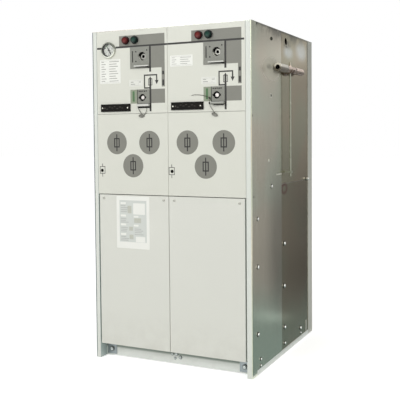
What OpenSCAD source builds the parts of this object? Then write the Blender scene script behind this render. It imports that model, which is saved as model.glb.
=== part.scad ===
// Two-module ring main unit: a folded sheet-metal cabinet with operating shafts, push buttons,
// a pressure gauge, fuse covers, cable covers, a recessed base and an operating lever on its side.
// Origin on the floor under the middle of the cabinet, front towards -Y.

/* [Cabinet] */
// Width over the side sheets
body_w = 696; // [660:1:760]
// Depth from the front face to the rear face
body_d = 751; // [700:1:820]
// Height from the floor to the top cover
body_h = 1336; // [1300:1:1420]
// Sheet metal thickness
sheet = 2; // [1.5:0.1:2.5]

/* [Front frame] */
// Width of the strip that each front post shows
post_w = 22; // [20:0.5:28]
// Depth of the front posts, which is also how far the base beam is set back
post_d = 48; // [40:1:60]
// Radius of the outer corner of the front posts
post_r = 6; // [4:0.5:9]
// Width of the flange on each post that the panels rest on
rebate_w = 14; // [12:0.5:20]
// Width of the mullion behind the middle seam
mullion_w = 36; // [24:1:40]
// Depth of the mullion behind the middle seam
mullion_d = 30; // [20:1:40]

/* [Front panels] */
// Depth of the folded edge of every front panel
panel_d = 22; // [18:1:26]
// Gap between the upper panels and round their edges
joint_gap = 1.2; // [0.8:0.1:2]
// Gap between the left and right cable covers
seam_gap = 2.4; // [1.5:0.1:4]
// Height of the operating panels
op_h = 331; // [325:1:350]
// Height of the fuse covers
fuse_h = 322; // [300:1:345]
// Height of the cable covers' lower edge above the floor
cover_lift = 62; // [55:1:75]
// Dark gap between a cable cover and its post
cover_gap = 6; // [4:0.5:8]
// Gap above the cable covers
cover_top_gap = 3; // [2:0.5:5]
// How far the fittings of a module sit nearer to the middle seam than its panels' middle
module_shift = 2; // [0:0.5:4]

/* [Operating shafts] */
// Place of the shafts right of the module's middle
shaft_x = 48; // [40:1:56]
// Upper shaft below the panel's top edge
switch_drop = 107; // [100:1:112]
// Lower shaft above the panel's bottom edge
earth_rise = 62; // [56:1:66]
// Diameter of the wells round the upper shafts
well_d = 34; // [32:0.5:37]
// Diameter of the wells round the lower shafts
earth_well_d = 28; // [27:0.5:30]
// Length of the guide tubes behind the panel
guide_l = 25; // [22:1:32]
// Wall of the guide tubes
guide_wall = 4; // [2:0.5:6]
// Outer diameter of the upper shaft
switch_d = 22; // [20:0.5:23]
// Bore in the end of the upper shaft
switch_bore = 10.5; // [8:0.5:12]
// Depth of that bore
switch_bore_l = 30; // [20:1:40]
// Upper shaft's end behind the panel's face
switch_set = 11; // [8:1:16]
// Diameter of the lower shaft
earth_d = 17; // [15:0.5:20]
// Lower shaft's end behind the panel's face
earth_set = 3; // [2:0.5:6]
// Radial running clearance of the shafts in their bearings
shaft_fit = 0.05; // [0.02:0.01:0.1]
// Length of the bearings in the mechanism box
bearing_l = 50; // [40:1:70]
// Width of the side notches of the lower well
notch_w = 8; // [6:0.5:10]
// Reach of the side notches beyond the lower well
notch_d = 3.5; // [3:0.5:4]

/* [Padlock plates] */
// Thickness of the padlock plates
lock_t = 2; // [1.5:0.1:3]
// Reach of every padlock plate right of its shaft
plate_right = 33; // [30:1:36]
// Reach of the upper plates left of their shaft
switch_plate_left = 54; // [48:1:58]
// Reach of the upper plates above their shaft
switch_plate_up = 38; // [32:1:40]
// Reach of the upper plates below their shaft
switch_plate_down = 47; // [42:1:50]
// Reach of the upper plates' lip left of their shaft
switch_lip_left = 30; // [24:1:40]
// Upper plates' lip above their lower edge
switch_lip_rise = 6; // [0:0.5:10]
// Thickness of the upper plates' lip
switch_lip_t = 5; // [3:0.5:6]
// Height of the slot in the upper plates
slot_h = 45; // [36:1:52]
// Width of that slot
slot_w = 4; // [3:0.5:6]
// Slot from the upper plates' left edge
slot_inset = 11.5; // [9:0.5:14]
// Reach of the lower plates left of their shaft
earth_plate_left = 20.5; // [20:0.5:24]
// Reach of the lower plates above their shaft
earth_plate_up = 32; // [28:1:34]
// Reach of the lower plates below their shaft
earth_plate_down = 35; // [32:1:36]
// Thickness of the lower plates' lip
earth_lip_t = 9; // [6:0.5:10]
// How far the lips stand out
lip_d = 14; // [10:1:20]
// Hole for a padlock in the lips
lip_hole = 8; // [6:0.5:9]

/* [Push buttons] */
// Place of the red button from the module's middle
button_x = -25; // [-30:1:-20]
// Distance between the red and the green button
button_pitch = 41; // [38:1:46]
// Buttons below the panel's top edge
button_drop = 41; // [38:1:45]
// Diameter of the buttons
button_d = 26; // [22:0.5:28]
// How far a button stands out of the panel
button_proud = 15; // [13:0.5:18]
// Travel of the buttons
button_travel = 6; // [4:0.5:7]
// Radial gap between a button and its collar
button_fit = 0.3; // [0.2:0.05:0.5]
// Wall of the button collars
collar_wall = 3; // [2:0.25:4]
// How far the collars stand out of the panel
collar_t = 4; // [3:0.5:6]

/* [Pressure gauge] */
// Place of the gauge from the module's left edge
gauge_inset = 57; // [52:1:62]
// Gauge below the panel's top edge
gauge_drop = 75; // [68:1:85]
// Outer diameter of the bezel
gauge_d = 63; // [58:1:66]
// Diameter of the case behind the panel
gauge_body_d = 56; // [52:1:57]
// How far the bezel stands out of the panel
gauge_proud = 9; // [7:0.5:12]
// Length of the case behind the panel
gauge_body_l = 24; // [18:1:34]
// Diameter of the glass
glass_d = 52; // [48:0.5:53]
// Thickness of the glass
glass_t = 2; // [1.5:0.25:3]
// Length of the pointer
pointer_l = 19; // [16:0.5:20]

/* [Indicators] */
// Width of the black indicator plates
indicator_w = 138; // [120:1:150]
// Height of the black indicator plates
indicator_h = 30; // [26:1:34]
// Thickness of the black indicator plates
indicator_t = 4; // [3:0.5:8]
// Middle of the indicator plates from the module's left edge
indicator_inset = 87; // [80:1:95]
// Middle of the indicator plates above the panel's bottom edge
indicator_rise = 24; // [20:1:28]
// Diameter of the trip indicators
trip_d = 10; // [8:0.5:14]
// Trip indicators from the module's left edge
trip_inset = 18; // [16:1:30]
// Trip indicators above the fuse cover's bottom edge
trip_rise = 95; // [80:1:120]

/* [Sides and rear] */
// Depth where the front side sheet ends
side_seam = 330; // [300:1:360]
// Overlap of the rear side sheets behind their neighbours
side_lap = 15; // [10:1:20]
// How far the upper rear side sheets reach below the lever's rod
side_drop = 31; // [20:1:60]
// Depth of the rear corner posts
rear_post_d = 60; // [50:1:75]
// Width of the rear corner posts
rear_post_w = 40; // [30:1:50]
// Height of the seam between the rear panels
rear_split = 690; // [640:1:760]
// Diameter of the lifting holes
lift_d = 28; // [24:1:32]
// Lifting holes below the top
lift_drop = 36; // [30:1:42]
// Lifting holes behind the front face
lift_y = 395; // [370:1:420]

/* [Base] */
// Height of the base beams
beam_h = 70; // [60:1:80]
// Width of the beams' flanges
beam_flange = 40; // [30:1:50]
// Height of the side rails
rail_h = 20; // [15:1:30]
// Width of the side rails' floor flange
rail_flange = 50; // [45:1:60]
// Thickness of the side rails
rail_t = 3; // [2:0.5:4]
// Diameter of the floor anchor holes
anchor_d = 14; // [11:0.5:16]
// Anchor holes from the side of the cabinet
anchor_inset = 30; // [27:1:32]
// Distance between the front and rear anchor holes
anchor_span = 480; // [400:1:520]
// Width of the zinc brackets on the front beam
bracket_w = 43; // [35:1:50]
// Height of the zinc brackets
bracket_h = 42; // [35:1:46]
// Thickness of the brackets
bracket_t = 3; // [2:0.5:4]

/* [Inside] */
// Depth from the front face to the gas tank
tank_front = 230; // [200:1:260]
// Space behind the gas tank
tank_back_gap = 60; // [40:1:90]
// Height of the gas tank's floor
tank_lift = 500; // [470:1:540]
// Space above the gas tank
tank_top_gap = 86; // [70:1:110]
// Height of the cable bushings
bushing_z = 595; // [580:1:620]
// Distance between the cable bushings of a module
bushing_pitch = 90; // [80:1:100]
// Diameter of the bushings' flange
bushing_d = 70; // [60:1:76]
// Length of the bushings
bushing_l = 95; // [80:1:120]

/* [Operating lever] */
// Middle of the lever's tube out from the side
lever_out = 20; // [18:0.5:26]
// Lever below the top
lever_drop = 155; // [140:1:175]
// Lever's front end behind the front face
lever_front = 232; // [200:1:260]
// Outer diameter of the socket
socket_d = 34; // [30:0.5:35]
// Bore of the socket
socket_bore = 18; // [15:0.5:22]
// Length of the socket
socket_l = 90; // [80:1:110]
// Diameter of the lever's tube
tube_d = 28; // [26:0.5:30]
// Length of the tube between the socket and the grip
tube_l = 125; // [110:1:140]
// Diameter of the grip
grip_d = 29; // [27:0.5:32]
// Length of the grip
grip_l = 87; // [75:1:110]
// Chamfer on the ends of the socket, the tube and the grip
lever_chamfer = 2; // [1:0.25:3]
// Diameter of the thin rod
rod_d = 8; // [6:0.5:10]
// Diameter of the stub that the rod ends in above the tube
stub_d = 11; // [10:0.5:13]
// Height of that stub's end above the tube's middle
stub_h = 30; // [24:1:36]
// Length of the thin rod below the tube's middle
rod_l = 440; // [380:1:480]
// Thin rod behind the lever's front end
rod_y = 152; // [140:1:170]

/* [Hidden] */
$fn = 64;

// How far every cut runs past the face that it opens
overrun = 1;

// Main planes of the cabinet
half_w = body_w / 2;
y_front = -body_d / 2;
y_rear = body_d / 2;
z_top = body_h - sheet;

// Half of the width that each module takes between its post and the middle seam
module_half = (half_w - post_w) / 2;

// Front panels
op_z = z_top - op_h;
fuse_z = op_z - joint_gap - fuse_h;
cover_h = fuse_z - cover_top_gap - cover_lift;
panel_w = half_w - post_w - joint_gap - joint_gap / 2;
cover_w = half_w - post_w - cover_gap - seam_gap / 2;

// Heights of the fittings on the operating panels
switch_z = z_top - switch_drop;
earth_z = op_z + earth_rise;
button_z = z_top - button_drop;
gauge_z = z_top - gauge_drop;

// Mechanism box behind each operating panel
mech_y = sheet + guide_l;
mech_left = 60;
mech_inset = 27;
mech_margin = 16;
shaft_end_gap = 5;
shaft_back = mech_y + bearing_l - shaft_end_gap;
button_back = mech_y - button_travel - shaft_end_gap;
button_chamfer = 1.5;
button_dish = 1.2;
button_dish_share = 0.75;
notch_l = 12;

// Gauge
gauge_x = inset_x(-1, gauge_inset);
bezel_chamfer = 2;
glass_fit = 0.2;
glass_set = 1.5;
glass_ledge = 2;
dial_y = 3;
spindle_d = 3;
spindle_end_gap = 1;
pointer_fit = 0.05;
pointer_t = 1.2;
pointer_hub_d = 8;
pointer_clear = 1.8;
pointer_angle = 28;
pointer_root_share = 0.4;
pointer_tail_share = 0.85;
gauge_fit = 0.3;

// Trip indicators
trip_z = fuse_z + trip_rise;
trip_fit = 0.1;
trip_rim = 1.5;
trip_rim_t = 1;
trip_l = 12;
trip_dish_share = 0.6;

// Depths where the rear side sheets start and end, lapped behind their neighbours
lap_y0 = side_seam - side_lap;
lap_y1 = body_d - rear_post_d + side_lap;

// Base
rail_y = y_front + post_d;
rail_l = body_d - post_d - rear_post_d;
beam_z = rail_t;
bracket_z = 8;
bracket_side_gap = 6;
bracket_boss_d = 16;
bracket_boss_t = 2;

// Inside
tank_half_w = half_w - 2 * sheet;
bushing_root_share = 0.8;
bushing_tip_share = 0.55;
bushing_flange_t = 12;

// Lever
lever_x = half_w + lever_out;
lever_z = body_h - lever_drop;
side_split = lever_z - rod_l - side_drop;
lever_y = y_front + lever_front;
tube_y = lever_y + socket_l;
rod_at = lever_y + rod_y;
holder_x = half_w - sheet;
hang_fit = 0.3;
hook_t = 3;
hook_half = 17;
hook_up = 12;
hook_down = 24;
strap_w = 7;
clip_h = 8;
clip_half = 8;
clip_up = 15;
clip_mouth_share = 0.8;

// Middle of a module's fittings: side is -1 for the left one and 1 for the right one
function module_x(side) = side * (module_half - module_shift);

// Place at a distance from a module's left edge
function inset_x(side, inset) = module_x(side) - module_half + inset;

// Left edge of a front panel of width w on one side of a middle seam of width gap
function panel_x(side, w, gap) = side < 0 ? -gap / 2 - w : gap / 2;

// Round bar along +Y from y
module bar_y(x, y, z, d, l) {
    translate([x, y, z])
        rotate([-90, 0, 0])
            cylinder(d = d, h = l);
}

// Folded sheet panel, open at its back
module pan(w, h) {
    difference() {
        cube([w, panel_d, h]);
        translate([sheet, sheet, sheet])
            cube([w - 2 * sheet, panel_d, h - 2 * sheet]);
    }
}

// Rectangle w by d with its first corner rounded
module rounded_corner(w, d, r) {
    translate([r, r])
        circle(r = r);
    translate([r, 0])
        square([w - r, d]);
    translate([0, r])
        square([w, d - r]);
}

// Channel section of the left front post: rounded corner and inner leg
module post_section() {
    difference() {
        rounded_corner(post_w, post_d, post_r);
        translate([sheet, sheet])
            rounded_corner(post_w - 2 * sheet, post_d, post_r - sheet);
    }
}

// Front post with a flange above the base that the panels rest on
module front_post(side) {
    color("gainsboro")
        mirror([side > 0 ? 1 : 0, 0, 0])
            translate([-half_w, y_front, 0]) {
                linear_extrude(height = z_top)
                    post_section();
                translate([post_w - sheet, panel_d, cover_lift])
                    cube([rebate_w + sheet, sheet, z_top - cover_lift]);
            }
}

module centre_mullion() {
    color("silver")
        translate([-mullion_w / 2, y_front + panel_d, beam_z + beam_h])
            difference() {
                cube([mullion_w, mullion_d, z_top - beam_z - beam_h]);
                translate([sheet, sheet, -overrun])
                    cube([mullion_w - 2 * sheet, mullion_d, body_h]);
            }
}

module top_cover() {
    color("silver")
        translate([-half_w, y_front, z_top])
            linear_extrude(height = sheet)
                union() {
                    for (x = [post_r, body_w - post_r])
                        translate([x, post_r])
                            circle(r = post_r);
                    translate([post_r, 0])
                        square([body_w - 2 * post_r, body_d]);
                    translate([0, post_r])
                        square([body_w, body_d - post_r]);
                }
}

// Round well of a lower shaft, with side notches of length side_l where a lever's cross pin goes in
module earth_well(x, z, y, l, side_l) {
    bar_y(x, y, z, earth_well_d, l);
    translate([x - earth_well_d / 2 - notch_d, y, z - notch_w / 2])
        cube([earth_well_d + 2 * notch_d, side_l, notch_w]);
}

module operating_panel(side) {
    mx = module_x(side);
    cut_y = y_front - overrun;
    cut_l = sheet + 2 * overrun;
    color("gainsboro")
        difference() {
            translate([panel_x(side, panel_w, joint_gap), y_front, op_z])
                pan(panel_w, op_h);
            bar_y(mx + shaft_x, cut_y, switch_z, well_d, cut_l);
            earth_well(mx + shaft_x, earth_z, cut_y, cut_l, cut_l);
            for (i = [0, 1])
                bar_y(mx + button_x + i * button_pitch, cut_y, button_z, button_d + 2 * button_fit, cut_l);
            if (side < 0)
                bar_y(gauge_x, cut_y, gauge_z, gauge_body_d + 2 * gauge_fit, cut_l);
        }
}

module fuse_cover(side) {
    color("gainsboro")
        difference() {
            translate([panel_x(side, panel_w, joint_gap), y_front, fuse_z])
                pan(panel_w, fuse_h);
            bar_y(inset_x(side, trip_inset), y_front - overrun, trip_z, trip_d, sheet + 2 * overrun);
        }
}

module cable_cover(side) {
    color("gainsboro")
        translate([panel_x(side, cover_w, seam_gap), y_front, cover_lift])
            pan(cover_w, cover_h);
}

// Padlock plate on a panel's face round a shaft, with a drilled lip of thickness t near its lower edge
module padlock_plate(left, up, down, lip_left, lip_rise, t) {
    difference() {
        union() {
            translate([-left, -lock_t, -down])
                cube([left + plate_right, lock_t, up + down]);
            translate([-lip_left, -lip_d, lip_rise - down])
                cube([lip_left + plate_right, lip_d, t]);
        }
        translate([plate_right / 2, -(lip_d + lock_t) / 2, lip_rise - down - overrun])
            cylinder(d = lip_hole, h = t + 2 * overrun);
    }
}

module switch_plates() {
    cut_l = lock_t + 2 * overrun;
    color("darkgray")
        for (side = [-1, 1])
            translate([module_x(side) + shaft_x, y_front, switch_z])
                difference() {
                    padlock_plate(switch_plate_left, switch_plate_up, switch_plate_down,
                                  switch_lip_left, switch_lip_rise, switch_lip_t);
                    bar_y(0, -lock_t - overrun, 0, well_d, cut_l);
                    translate([-switch_plate_left + slot_inset - slot_w / 2, -lock_t - overrun, -slot_h / 2])
                        cube([slot_w, cut_l, slot_h]);
                }
}

module earth_plates() {
    cut_l = lock_t + 2 * overrun;
    color("darkgray")
        for (side = [-1, 1])
            translate([module_x(side) + shaft_x, y_front, earth_z])
                difference() {
                    padlock_plate(earth_plate_left, earth_plate_up, earth_plate_down,
                                  earth_plate_left, 0, earth_lip_t);
                    earth_well(0, 0, -lock_t - overrun, cut_l, cut_l);
                }
}

module switch_shaft(side) {
    x = module_x(side) + shaft_x;
    color("lightgray")
        difference() {
            bar_y(x, y_front + switch_set, switch_z, switch_d, shaft_back - switch_set);
            bar_y(x, y_front + switch_set - overrun, switch_z, switch_bore, switch_bore_l + overrun);
        }
}

module earth_shaft(side) {
    color("whitesmoke")
        bar_y(module_x(side) + shaft_x, y_front + earth_set, earth_z, earth_d, shaft_back - earth_set);
}

// Guide tubes between the panel's back and the mechanism box
module shaft_guides() {
    color("dimgray")
        for (side = [-1, 1], z = [switch_z, earth_z])
            translate([module_x(side) + shaft_x, y_front + sheet, z])
                difference() {
                    bar_y(0, 0, 0, well_d + 2 * guide_wall, guide_l);
                    if (z == switch_z)
                        bar_y(0, -overrun, 0, well_d, guide_l + 2 * overrun);
                    else
                        earth_well(0, 0, -overrun, guide_l + 2 * overrun, notch_l + overrun);
                }
}

// Closed box of each spring mechanism, with the bearings of its two shafts
module mechanism_boxes() {
    box_w = mech_left + module_half - mech_inset;
    bearing_cut = bearing_l + overrun;
    color("dimgray")
        for (side = [-1, 1])
            translate([module_x(side), y_front + mech_y, 0])
                difference() {
                    translate([-mech_left, 0, op_z + mech_margin])
                        cube([box_w, tank_front - mech_y, op_h - 2 * mech_margin]);
                    bar_y(shaft_x, -overrun, switch_z, switch_d + 2 * shaft_fit, bearing_cut);
                    bar_y(shaft_x, -overrun, earth_z, earth_d + 2 * shaft_fit, bearing_cut);
                }
}

// Push button with a shallow dish in its chamfered face: i is 0 for red and 1 for green
module push_button(side, i, colour) {
    r = button_d / 2;
    color(colour)
        translate([module_x(side) + button_x + i * button_pitch, y_front, button_z])
            rotate([-90, 0, 0])
                rotate_extrude()
                    polygon([
                        [0, -button_proud + button_dish], [r * button_dish_share, -button_proud],
                        [r - button_chamfer, -button_proud], [r, -button_proud + button_chamfer],
                        [r, button_back], [0, button_back]
                    ]);
}

module button_collars() {
    bore_d = button_d + 2 * button_fit;
    color("dimgray")
        for (side = [-1, 1], i = [0, 1]) {
            x = module_x(side) + button_x + i * button_pitch;
            difference() {
                bar_y(x, y_front - collar_t, button_z, bore_d + 2 * collar_wall, collar_t);
                bar_y(x, y_front - collar_t - overrun, button_z, bore_d, collar_t + 2 * overrun);
            }
        }
}

// Turns a profile drawn as [radius, distance behind the panel's face] about the gauge's axis
module gauge_turn() {
    translate([gauge_x, y_front, gauge_z])
        rotate([-90, 0, 0])
            rotate_extrude()
                children();
}

module gauge_case() {
    rim_r = gauge_d / 2;
    body_r = gauge_body_d / 2;
    seat_r = glass_d / 2 + glass_fit;
    seat_y = -gauge_proud + glass_set + glass_t;
    dial_r = glass_d / 2 - glass_ledge;
    spindle_r = spindle_d / 2;
    color("silver")
        gauge_turn()
            polygon([
                [0, seat_y + spindle_end_gap], [spindle_r, seat_y + spindle_end_gap], [spindle_r, dial_y],
                [dial_r, dial_y], [dial_r, seat_y], [seat_r, seat_y], [seat_r, -gauge_proud],
                [rim_r - bezel_chamfer, -gauge_proud], [rim_r, -gauge_proud + bezel_chamfer], [rim_r, 0],
                [body_r, 0], [body_r, gauge_body_l], [0, gauge_body_l]
            ]);
}

module gauge_glass() {
    color("lightblue", 0.4)
        bar_y(gauge_x, y_front - gauge_proud + glass_set, gauge_z, glass_d, glass_t);
}

// Tapered needle with a broad tail on a drilled hub
module gauge_pointer() {
    hub_r = pointer_hub_d / 2;
    root = hub_r * pointer_root_share;
    color("black")
        translate([gauge_x, y_front + dial_y - pointer_clear, gauge_z])
            rotate([90, 0, 0])
                rotate([0, 0, pointer_angle])
                    linear_extrude(height = pointer_t)
                        difference() {
                            union() {
                                circle(d = pointer_hub_d);
                                polygon([[-root, 0], [root, 0], [0, pointer_l]]);
                                translate([-root, -pointer_l * pointer_tail_share])
                                    square([2 * root, pointer_l * pointer_tail_share]);
                            }
                            circle(d = spindle_d + 2 * pointer_fit);
                        }
}

module voltage_indicators() {
    z = op_z + indicator_rise - indicator_h / 2;
    color("black")
        for (side = [-1, 1])
            translate([inset_x(side, indicator_inset) - indicator_w / 2, y_front - indicator_t, z])
                cube([indicator_w, indicator_t, indicator_h]);
}

// Small dished plug in a hole of each fuse cover
module trip_indicators() {
    color("black")
        for (side = [-1, 1]) {
            x = inset_x(side, trip_inset);
            y = y_front - trip_rim_t;
            difference() {
                union() {
                    bar_y(x, y, trip_z, trip_d + 2 * trip_rim, trip_rim_t);
                    bar_y(x, y, trip_z, trip_d - 2 * trip_fit, trip_l);
                }
                bar_y(x, y - overrun, trip_z, trip_d * trip_dish_share, trip_rim_t + overrun + sheet);
            }
        }
}

// Upright side sheet from depth y0 to y1 and height z0 to z1, its outer face at x from the middle
module side_sheet(side, x, y0, y1, z0, z1) {
    translate([side < 0 ? -x : x - sheet, y_front + y0, z0])
        cube([sheet, y1 - y0, z1 - z0]);
}

module side_front(side) {
    color("silver")
        side_sheet(side, half_w, post_d, side_seam, rail_h, z_top);
}

module side_upper(side) {
    color("silver")
        difference() {
            side_sheet(side, half_w - sheet, lap_y0, lap_y1, side_split + joint_gap, z_top);
            translate([side * half_w, y_front + lift_y, body_h - lift_drop])
                rotate([0, 90, 0])
                    cylinder(d = lift_d, h = body_w / 2, center = true);
        }
}

module side_lower(side) {
    color("darkgray")
        side_sheet(side, half_w - sheet, lap_y0, lap_y1, rail_h, side_split);
}

module rear_posts() {
    color("silver")
        for (i = [0, 1])
            mirror([i, 0, 0])
                translate([-half_w, y_rear - rear_post_d, 0])
                    linear_extrude(height = z_top)
                        difference() {
                            square([rear_post_w, rear_post_d]);
                            translate([sheet, -overrun])
                                square([rear_post_w, rear_post_d - sheet + overrun]);
                        }
}

// Rear sheet from height z0 to z1, lapped behind the flanges of the rear posts
module rear_sheet(z0, z1) {
    half = half_w - rear_post_w + side_lap;
    color("silver")
        translate([-half, y_rear - 2 * sheet, z0])
            cube([2 * half, sheet, z1 - z0]);
}

// Channel across the base, its web at the front
module base_beam() {
    beam_l = body_w - 2 * sheet;
    translate([-beam_l / 2, 0, beam_z])
        difference() {
            cube([beam_l, beam_flange, beam_h]);
            translate([-overrun, sheet, sheet])
                cube([beam_l + 2 * overrun, beam_flange, beam_h - 2 * sheet]);
        }
}

// Front beam behind the posts and rear beam against the rear posts
module base_beams() {
    color("silver") {
        translate([0, rail_y, 0])
            base_beam();
        translate([0, y_rear - sheet, 0])
            mirror([0, 1, 0])
                base_beam();
    }
}

// Angle along the foot of each side, drilled for the floor anchors
module base_rails() {
    color("gainsboro")
        for (i = [0, 1])
            mirror([i, 0, 0])
                difference() {
                    union() {
                        translate([-half_w, rail_y, 0])
                            cube([rail_flange, rail_l, rail_t]);
                        translate([-half_w, rail_y, 0])
                            cube([sheet, rail_l, rail_h]);
                    }
                    for (y = [-1, 1])
                        translate([-half_w + anchor_inset, y * anchor_span / 2, -overrun])
                            cylinder(d = anchor_d, h = rail_t + 2 * overrun);
                }
}

// Zinc plate at each end of the front beam, with a round boss under its bolt
module base_brackets() {
    x = half_w - post_w - bracket_side_gap - bracket_w / 2;
    y = rail_y - bracket_t;
    color("lightsteelblue")
        for (side = [-1, 1]) {
            translate([side * x - bracket_w / 2, y, bracket_z])
                cube([bracket_w, bracket_t, bracket_h]);
            bar_y(side * x, y - bracket_boss_t, bracket_z + bracket_h / 2, bracket_boss_d, bracket_boss_t);
        }
}

module gas_tank() {
    color("darkgray")
        translate([-tank_half_w, y_front + tank_front, tank_lift])
            cube([2 * tank_half_w, body_d - tank_front - tank_back_gap, body_h - tank_top_gap - tank_lift]);
}

// Three tapered cable bushings on the tank's front face in each module
module cable_bushings() {
    flange_r = bushing_d / 2;
    color("sienna")
        for (side = [-1, 1], i = [-1, 0, 1])
            translate([module_x(side) + i * bushing_pitch, y_front + tank_front, bushing_z])
                rotate([90, 0, 0])
                    rotate_extrude()
                        polygon([
                            [0, 0], [flange_r, 0], [flange_r, bushing_flange_t],
                            [flange_r * bushing_root_share, bushing_flange_t],
                            [flange_r * bushing_tip_share, bushing_l], [0, bushing_l]
                        ]);
}

// Bar along +Y from y on the lever's axis, with chamfered ends
module lever_bar(y, d, l) {
    r = d / 2;
    translate([lever_x, y, lever_z])
        rotate([-90, 0, 0])
            rotate_extrude()
                polygon([
                    [0, 0], [r - lever_chamfer, 0], [r, lever_chamfer],
                    [r, l - lever_chamfer], [r - lever_chamfer, l], [0, l]
                ]);
}

module lever_socket() {
    color("tan")
        difference() {
            lever_bar(lever_y, socket_d, socket_l);
            bar_y(lever_x, lever_y - overrun, lever_z, socket_bore, socket_l + 2 * overrun);
        }
}

// Tube with a grip behind it, and a thin rod that runs through the tube
module operating_lever() {
    color("tan") {
        lever_bar(tube_y, tube_d, tube_l);
        lever_bar(tube_y + tube_l, grip_d, grip_l);
        translate([lever_x, rod_at, lever_z - rod_l])
            cylinder(d = rod_d, h = rod_l);
        translate([lever_x, rod_at, lever_z])
            cylinder(d = stub_d, h = stub_h);
    }
}

// Strap from the side round the underside of the lever's tube, along +Y from y
module hook_strap(y) {
    inner_r = tube_d / 2 + hang_fit;
    outer_r = inner_r + hook_t;
    reach = lever_x - holder_x;
    translate([lever_x, y, lever_z])
        rotate([-90, 0, 0])
            linear_extrude(height = strap_w)
                difference() {
                    union() {
                        circle(r = outer_r);
                        translate([-reach, 0])
                            square([reach, outer_r]);
                    }
                    circle(r = inner_r);
                    translate([-reach - overrun, -outer_r - overrun])
                        square([2 * (reach + overrun), outer_r + overrun]);
                }
}

// Hook on the side: a back plate and two straps that carry the tube on both sides of the rod
module lever_hook() {
    translate([holder_x, rod_at - hook_half, lever_z - hook_down])
        cube([hook_t, 2 * hook_half, hook_up + hook_down]);
    for (y = [-hook_half, hook_half - strap_w])
        hook_strap(rod_at + y);
}

// Clip on the side that the lower end of the rod is pressed into
module lever_clip() {
    z = lever_z - rod_l + clip_up;
    mouth = rod_d * clip_mouth_share;
    difference() {
        translate([holder_x, rod_at - clip_half, z])
            cube([lever_x + clip_half - holder_x, 2 * clip_half, clip_h]);
        translate([lever_x, rod_at, z - overrun])
            cylinder(d = rod_d + 2 * hang_fit, h = clip_h + 2 * overrun);
        translate([lever_x, rod_at - mouth / 2, z - overrun])
            cube([clip_half + overrun, mouth, clip_h + 2 * overrun]);
    }
}

module lever_holders() {
    color("silver") {
        lever_hook();
        lever_clip();
    }
}

front_post(-1);  // left_front_post
front_post(1);  // right_front_post
centre_mullion();
top_cover();
operating_panel(-1);  // operating_panel_left
operating_panel(1);  // operating_panel_right
fuse_cover(-1);  // fuse_cover_left
fuse_cover(1);  // fuse_cover_right
cable_cover(-1);  // cable_cover_left
cable_cover(1);  // cable_cover_right
switch_plates();
earth_plates();
switch_shaft(-1);  // switch_shaft_left
switch_shaft(1);  // switch_shaft_right
earth_shaft(-1);  // earth_shaft_left
earth_shaft(1);  // earth_shaft_right
shaft_guides();
mechanism_boxes();
push_button(-1, 0, "firebrick");  // red_button_left
push_button(1, 0, "firebrick");  // red_button_right
push_button(-1, 1, "darkgreen");  // green_button_left
push_button(1, 1, "darkgreen");  // green_button_right
button_collars();
gauge_case();
gauge_pointer();
gauge_glass();
voltage_indicators();
trip_indicators();
side_front(-1);  // left_side_front
side_front(1);  // right_side_front
side_upper(-1);  // left_side_upper
side_upper(1);  // right_side_upper
side_lower(-1);  // left_side_lower
side_lower(1);  // right_side_lower
rear_posts();
rear_sheet(rear_split + joint_gap, z_top);  // rear_upper_panel
rear_sheet(beam_z + beam_h, rear_split);  // rear_lower_panel
base_beams();
base_rails();
base_brackets();
gas_tank();
cable_bushings();
lever_socket();
operating_lever();
lever_holders();
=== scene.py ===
import math

import bmesh
import bpy
from mathutils import Matrix, Vector


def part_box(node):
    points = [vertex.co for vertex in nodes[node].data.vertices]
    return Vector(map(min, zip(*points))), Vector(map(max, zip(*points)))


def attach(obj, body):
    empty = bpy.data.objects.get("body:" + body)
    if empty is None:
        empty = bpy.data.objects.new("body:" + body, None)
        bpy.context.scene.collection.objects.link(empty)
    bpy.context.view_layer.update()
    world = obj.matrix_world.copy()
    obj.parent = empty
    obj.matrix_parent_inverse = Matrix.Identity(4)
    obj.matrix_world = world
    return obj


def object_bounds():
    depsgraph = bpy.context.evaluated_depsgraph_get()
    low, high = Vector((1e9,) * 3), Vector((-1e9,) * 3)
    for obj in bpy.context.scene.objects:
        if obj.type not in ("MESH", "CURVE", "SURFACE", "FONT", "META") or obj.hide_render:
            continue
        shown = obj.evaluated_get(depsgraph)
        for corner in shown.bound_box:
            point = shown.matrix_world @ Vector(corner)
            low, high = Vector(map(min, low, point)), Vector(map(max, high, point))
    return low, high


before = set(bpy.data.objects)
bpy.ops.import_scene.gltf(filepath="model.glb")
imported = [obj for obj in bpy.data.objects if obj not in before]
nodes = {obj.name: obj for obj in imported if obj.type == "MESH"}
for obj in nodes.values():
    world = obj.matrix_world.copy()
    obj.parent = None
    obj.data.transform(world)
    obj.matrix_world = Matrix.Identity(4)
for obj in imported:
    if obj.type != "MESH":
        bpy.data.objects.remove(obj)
cadLow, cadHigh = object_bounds()
mm = 0.001
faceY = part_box("fuse_cover_left")[0].y  # front face of the panels
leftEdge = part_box("left_front_post")[0].x  # x is counted from here on the front
sides = ("left", "right")
pitch = 322  # mm from a fitting on the left module to its twin on the right one
toFront, toRear, toRight, toLeft = (0, -1, 0), (0, 1, 0), (1, 0, 0), (-1, 0, 0)
white, midGrey = (1, 1, 1, 1), (0.5, 0.5, 0.5, 1)
print("frame loaded:", len(nodes), "nodes")


def tone(r, g, b):  # screen colour 0-255 as the linear colour that a shader takes
    def lin(v):
        v /= 255
        return v / 12.92 if v <= 0.04045 else ((v + 0.055) / 1.055) ** 2.4
    return (lin(r), lin(g), lin(b), 1.0)


def brighter(colour, by, plus=0.0):
    return [min(1, c * by + plus) for c in colour[:3]] + [1]


def middle(node):  # x and z of a node's middle
    low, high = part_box(node)
    return (low.x + high.x) / 2, (low.z + high.z) / 2


def addObject(name, data):
    made = bpy.data.objects.new(name, data)
    bpy.context.scene.collection.objects.link(made)
    return made


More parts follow.
